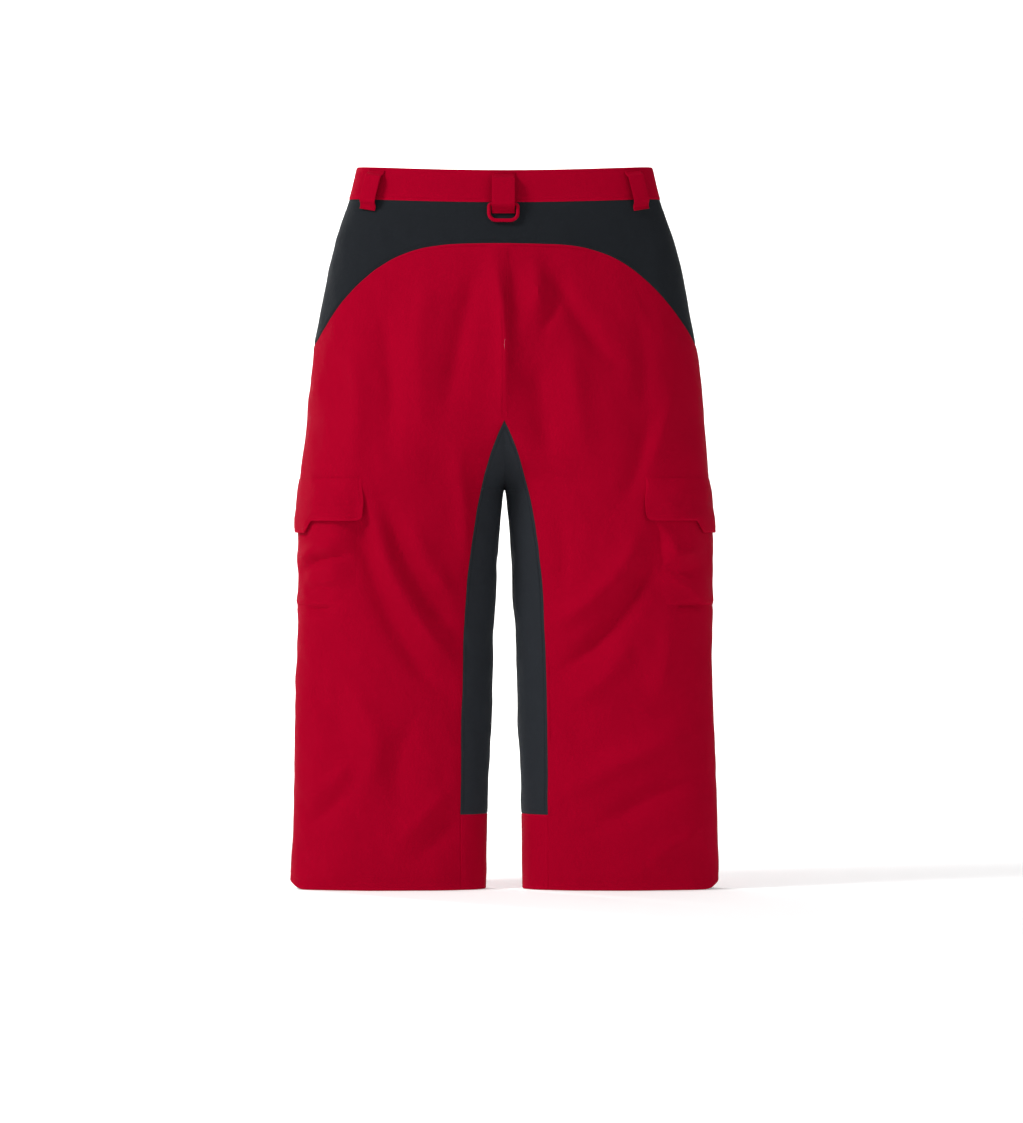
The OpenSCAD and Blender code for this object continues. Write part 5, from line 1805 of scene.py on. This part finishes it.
class PANTS_OT_stage(PantsPiece, bpy.types.Operator):
    """Pale floor and backdrop, soft light and the camera."""

    bl_idname = "pants.stage"
    bl_label = "Stage"

    def execute(self, context):
        scene = context.scene
        floor = CAD_BOX[0][2] * 1000 - 0.5
        # A floor that turns up into a wall: a quarter circle between two flats
        reach, bend, radius, height = 9000, 6600, 1200, 6000
        a = np.radians(np.linspace(-90, 0, 40))
        wall = np.full(12, float(bend + radius))
        y = np.concatenate([np.linspace(-reach, bend, 40)[:-1], bend + radius * np.cos(a), wall[1:]])
        z = np.concatenate([np.zeros(39), radius + radius * np.sin(a), np.linspace(radius, height, 12)[1:]])
        x = np.linspace(-reach, reach, 24)[:, None]
        grid = np.stack(np.broadcast_arrays(x, y, z + floor), -1)
        backdrop = make("backdrop", grid.reshape(-1, 3), quads_of(*grid.shape[:2]))
        backdrop.data.materials.append(studio_material("studio_paper", (0.9, 0.9, 0.9, 1.0)))

        world = scene.world or bpy.data.worlds.new("studio")
        scene.world = world
        world.use_nodes = True
        sky = world.node_tree.nodes.get("Background")
        sky.inputs["Color"].default_value = (1.0, 1.0, 1.0, 1.0)
        sky.inputs["Strength"].default_value = 0.38

        def softbox(name, place, target, size, power):
            light = bpy.data.lights.new(name, "AREA")
            light.shape, light.size, light.size_y, light.energy = "RECTANGLE", size[0], size[1], power
            lamp = bpy.data.objects.new(name, light)
            scene.collection.objects.link(lamp)
            lamp.location = place
            way = np.array(target, float) - np.array(place, float)
            lamp.rotation_mode = "QUATERNION"
            lamp.rotation_quaternion = Vector(way).to_track_quat("-Z", "Y")

        softbox("key", (-3.5, -1.9, 2.7), (0, 0, -0.5), (1.2, 1.2), 195)
        softbox("fill", (2.6, -4.6, 0.4), (0, 0, -0.6), (3.0, 3.0), 44)
        softbox("behind", (-4.2, 4.4, 3.0), (0.6, 7.8, -0.3), (2.0, 2.0), 560)

        camera = bpy.data.cameras.new("camera")
        camera.lens, camera.sensor_width, camera.clip_end = 137.4, 36.0, 60.0
        eye = bpy.data.objects.new("camera", camera)
        scene.collection.objects.link(eye)
        eye.location = (0.0098, -6.0, -0.551)
        eye.rotation_euler = (math.radians(90), 0, 0)
        scene.camera = eye
        scene.view_settings.view_transform = "Standard"
        return {"FINISHED"}


class PANTS_PT_panel(bpy.types.Panel):
    """Lists the sizes, the colours and the pieces."""

    bl_idname = "PANTS_PT_panel"
    bl_label = "Ski Pants"
    bl_space_type = "VIEW_3D"
    bl_region_type = "UI"
    bl_category = "Pants"

    def draw(self, context):
        for group in (context.scene.pants_sizes, context.scene.pants_look):
            box = self.layout.box()
            for key in group.bl_rna.properties.keys():
                if key not in ("rna_type", "name"):
                    box.prop(group, key)
        for operator in OPERATORS:
            self.layout.operator(operator.bl_idname)


OPERATORS = (
    PANTS_OT_stage, PANTS_OT_back, PANTS_OT_front, PANTS_OT_inner_leg, PANTS_OT_waistband, PANTS_OT_loops,
    PANTS_OT_ring, PANTS_OT_pockets, PANTS_OT_lining, PANTS_OT_zips, PANTS_OT_fittings, PANTS_OT_stitching,
)
CLASSES = (PantsSizes, PantsLook) + OPERATORS + (PANTS_PT_panel,)


def register():
    for cls in CLASSES:
        bpy.utils.register_class(cls)
    bpy.types.Scene.pants_sizes = bpy.props.PointerProperty(type=PantsSizes)
    bpy.types.Scene.pants_look = bpy.props.PointerProperty(type=PantsLook)


def unregister():
    del bpy.types.Scene.pants_look
    del bpy.types.Scene.pants_sizes
    for cls in reversed(CLASSES):
        bpy.utils.unregister_class(cls)


def main():
    register()
    for operator in OPERATORS:
        group, name = operator.bl_idname.split(".")
        getattr(getattr(bpy.ops, group), name)()


if __name__ == "__main__":
    main()
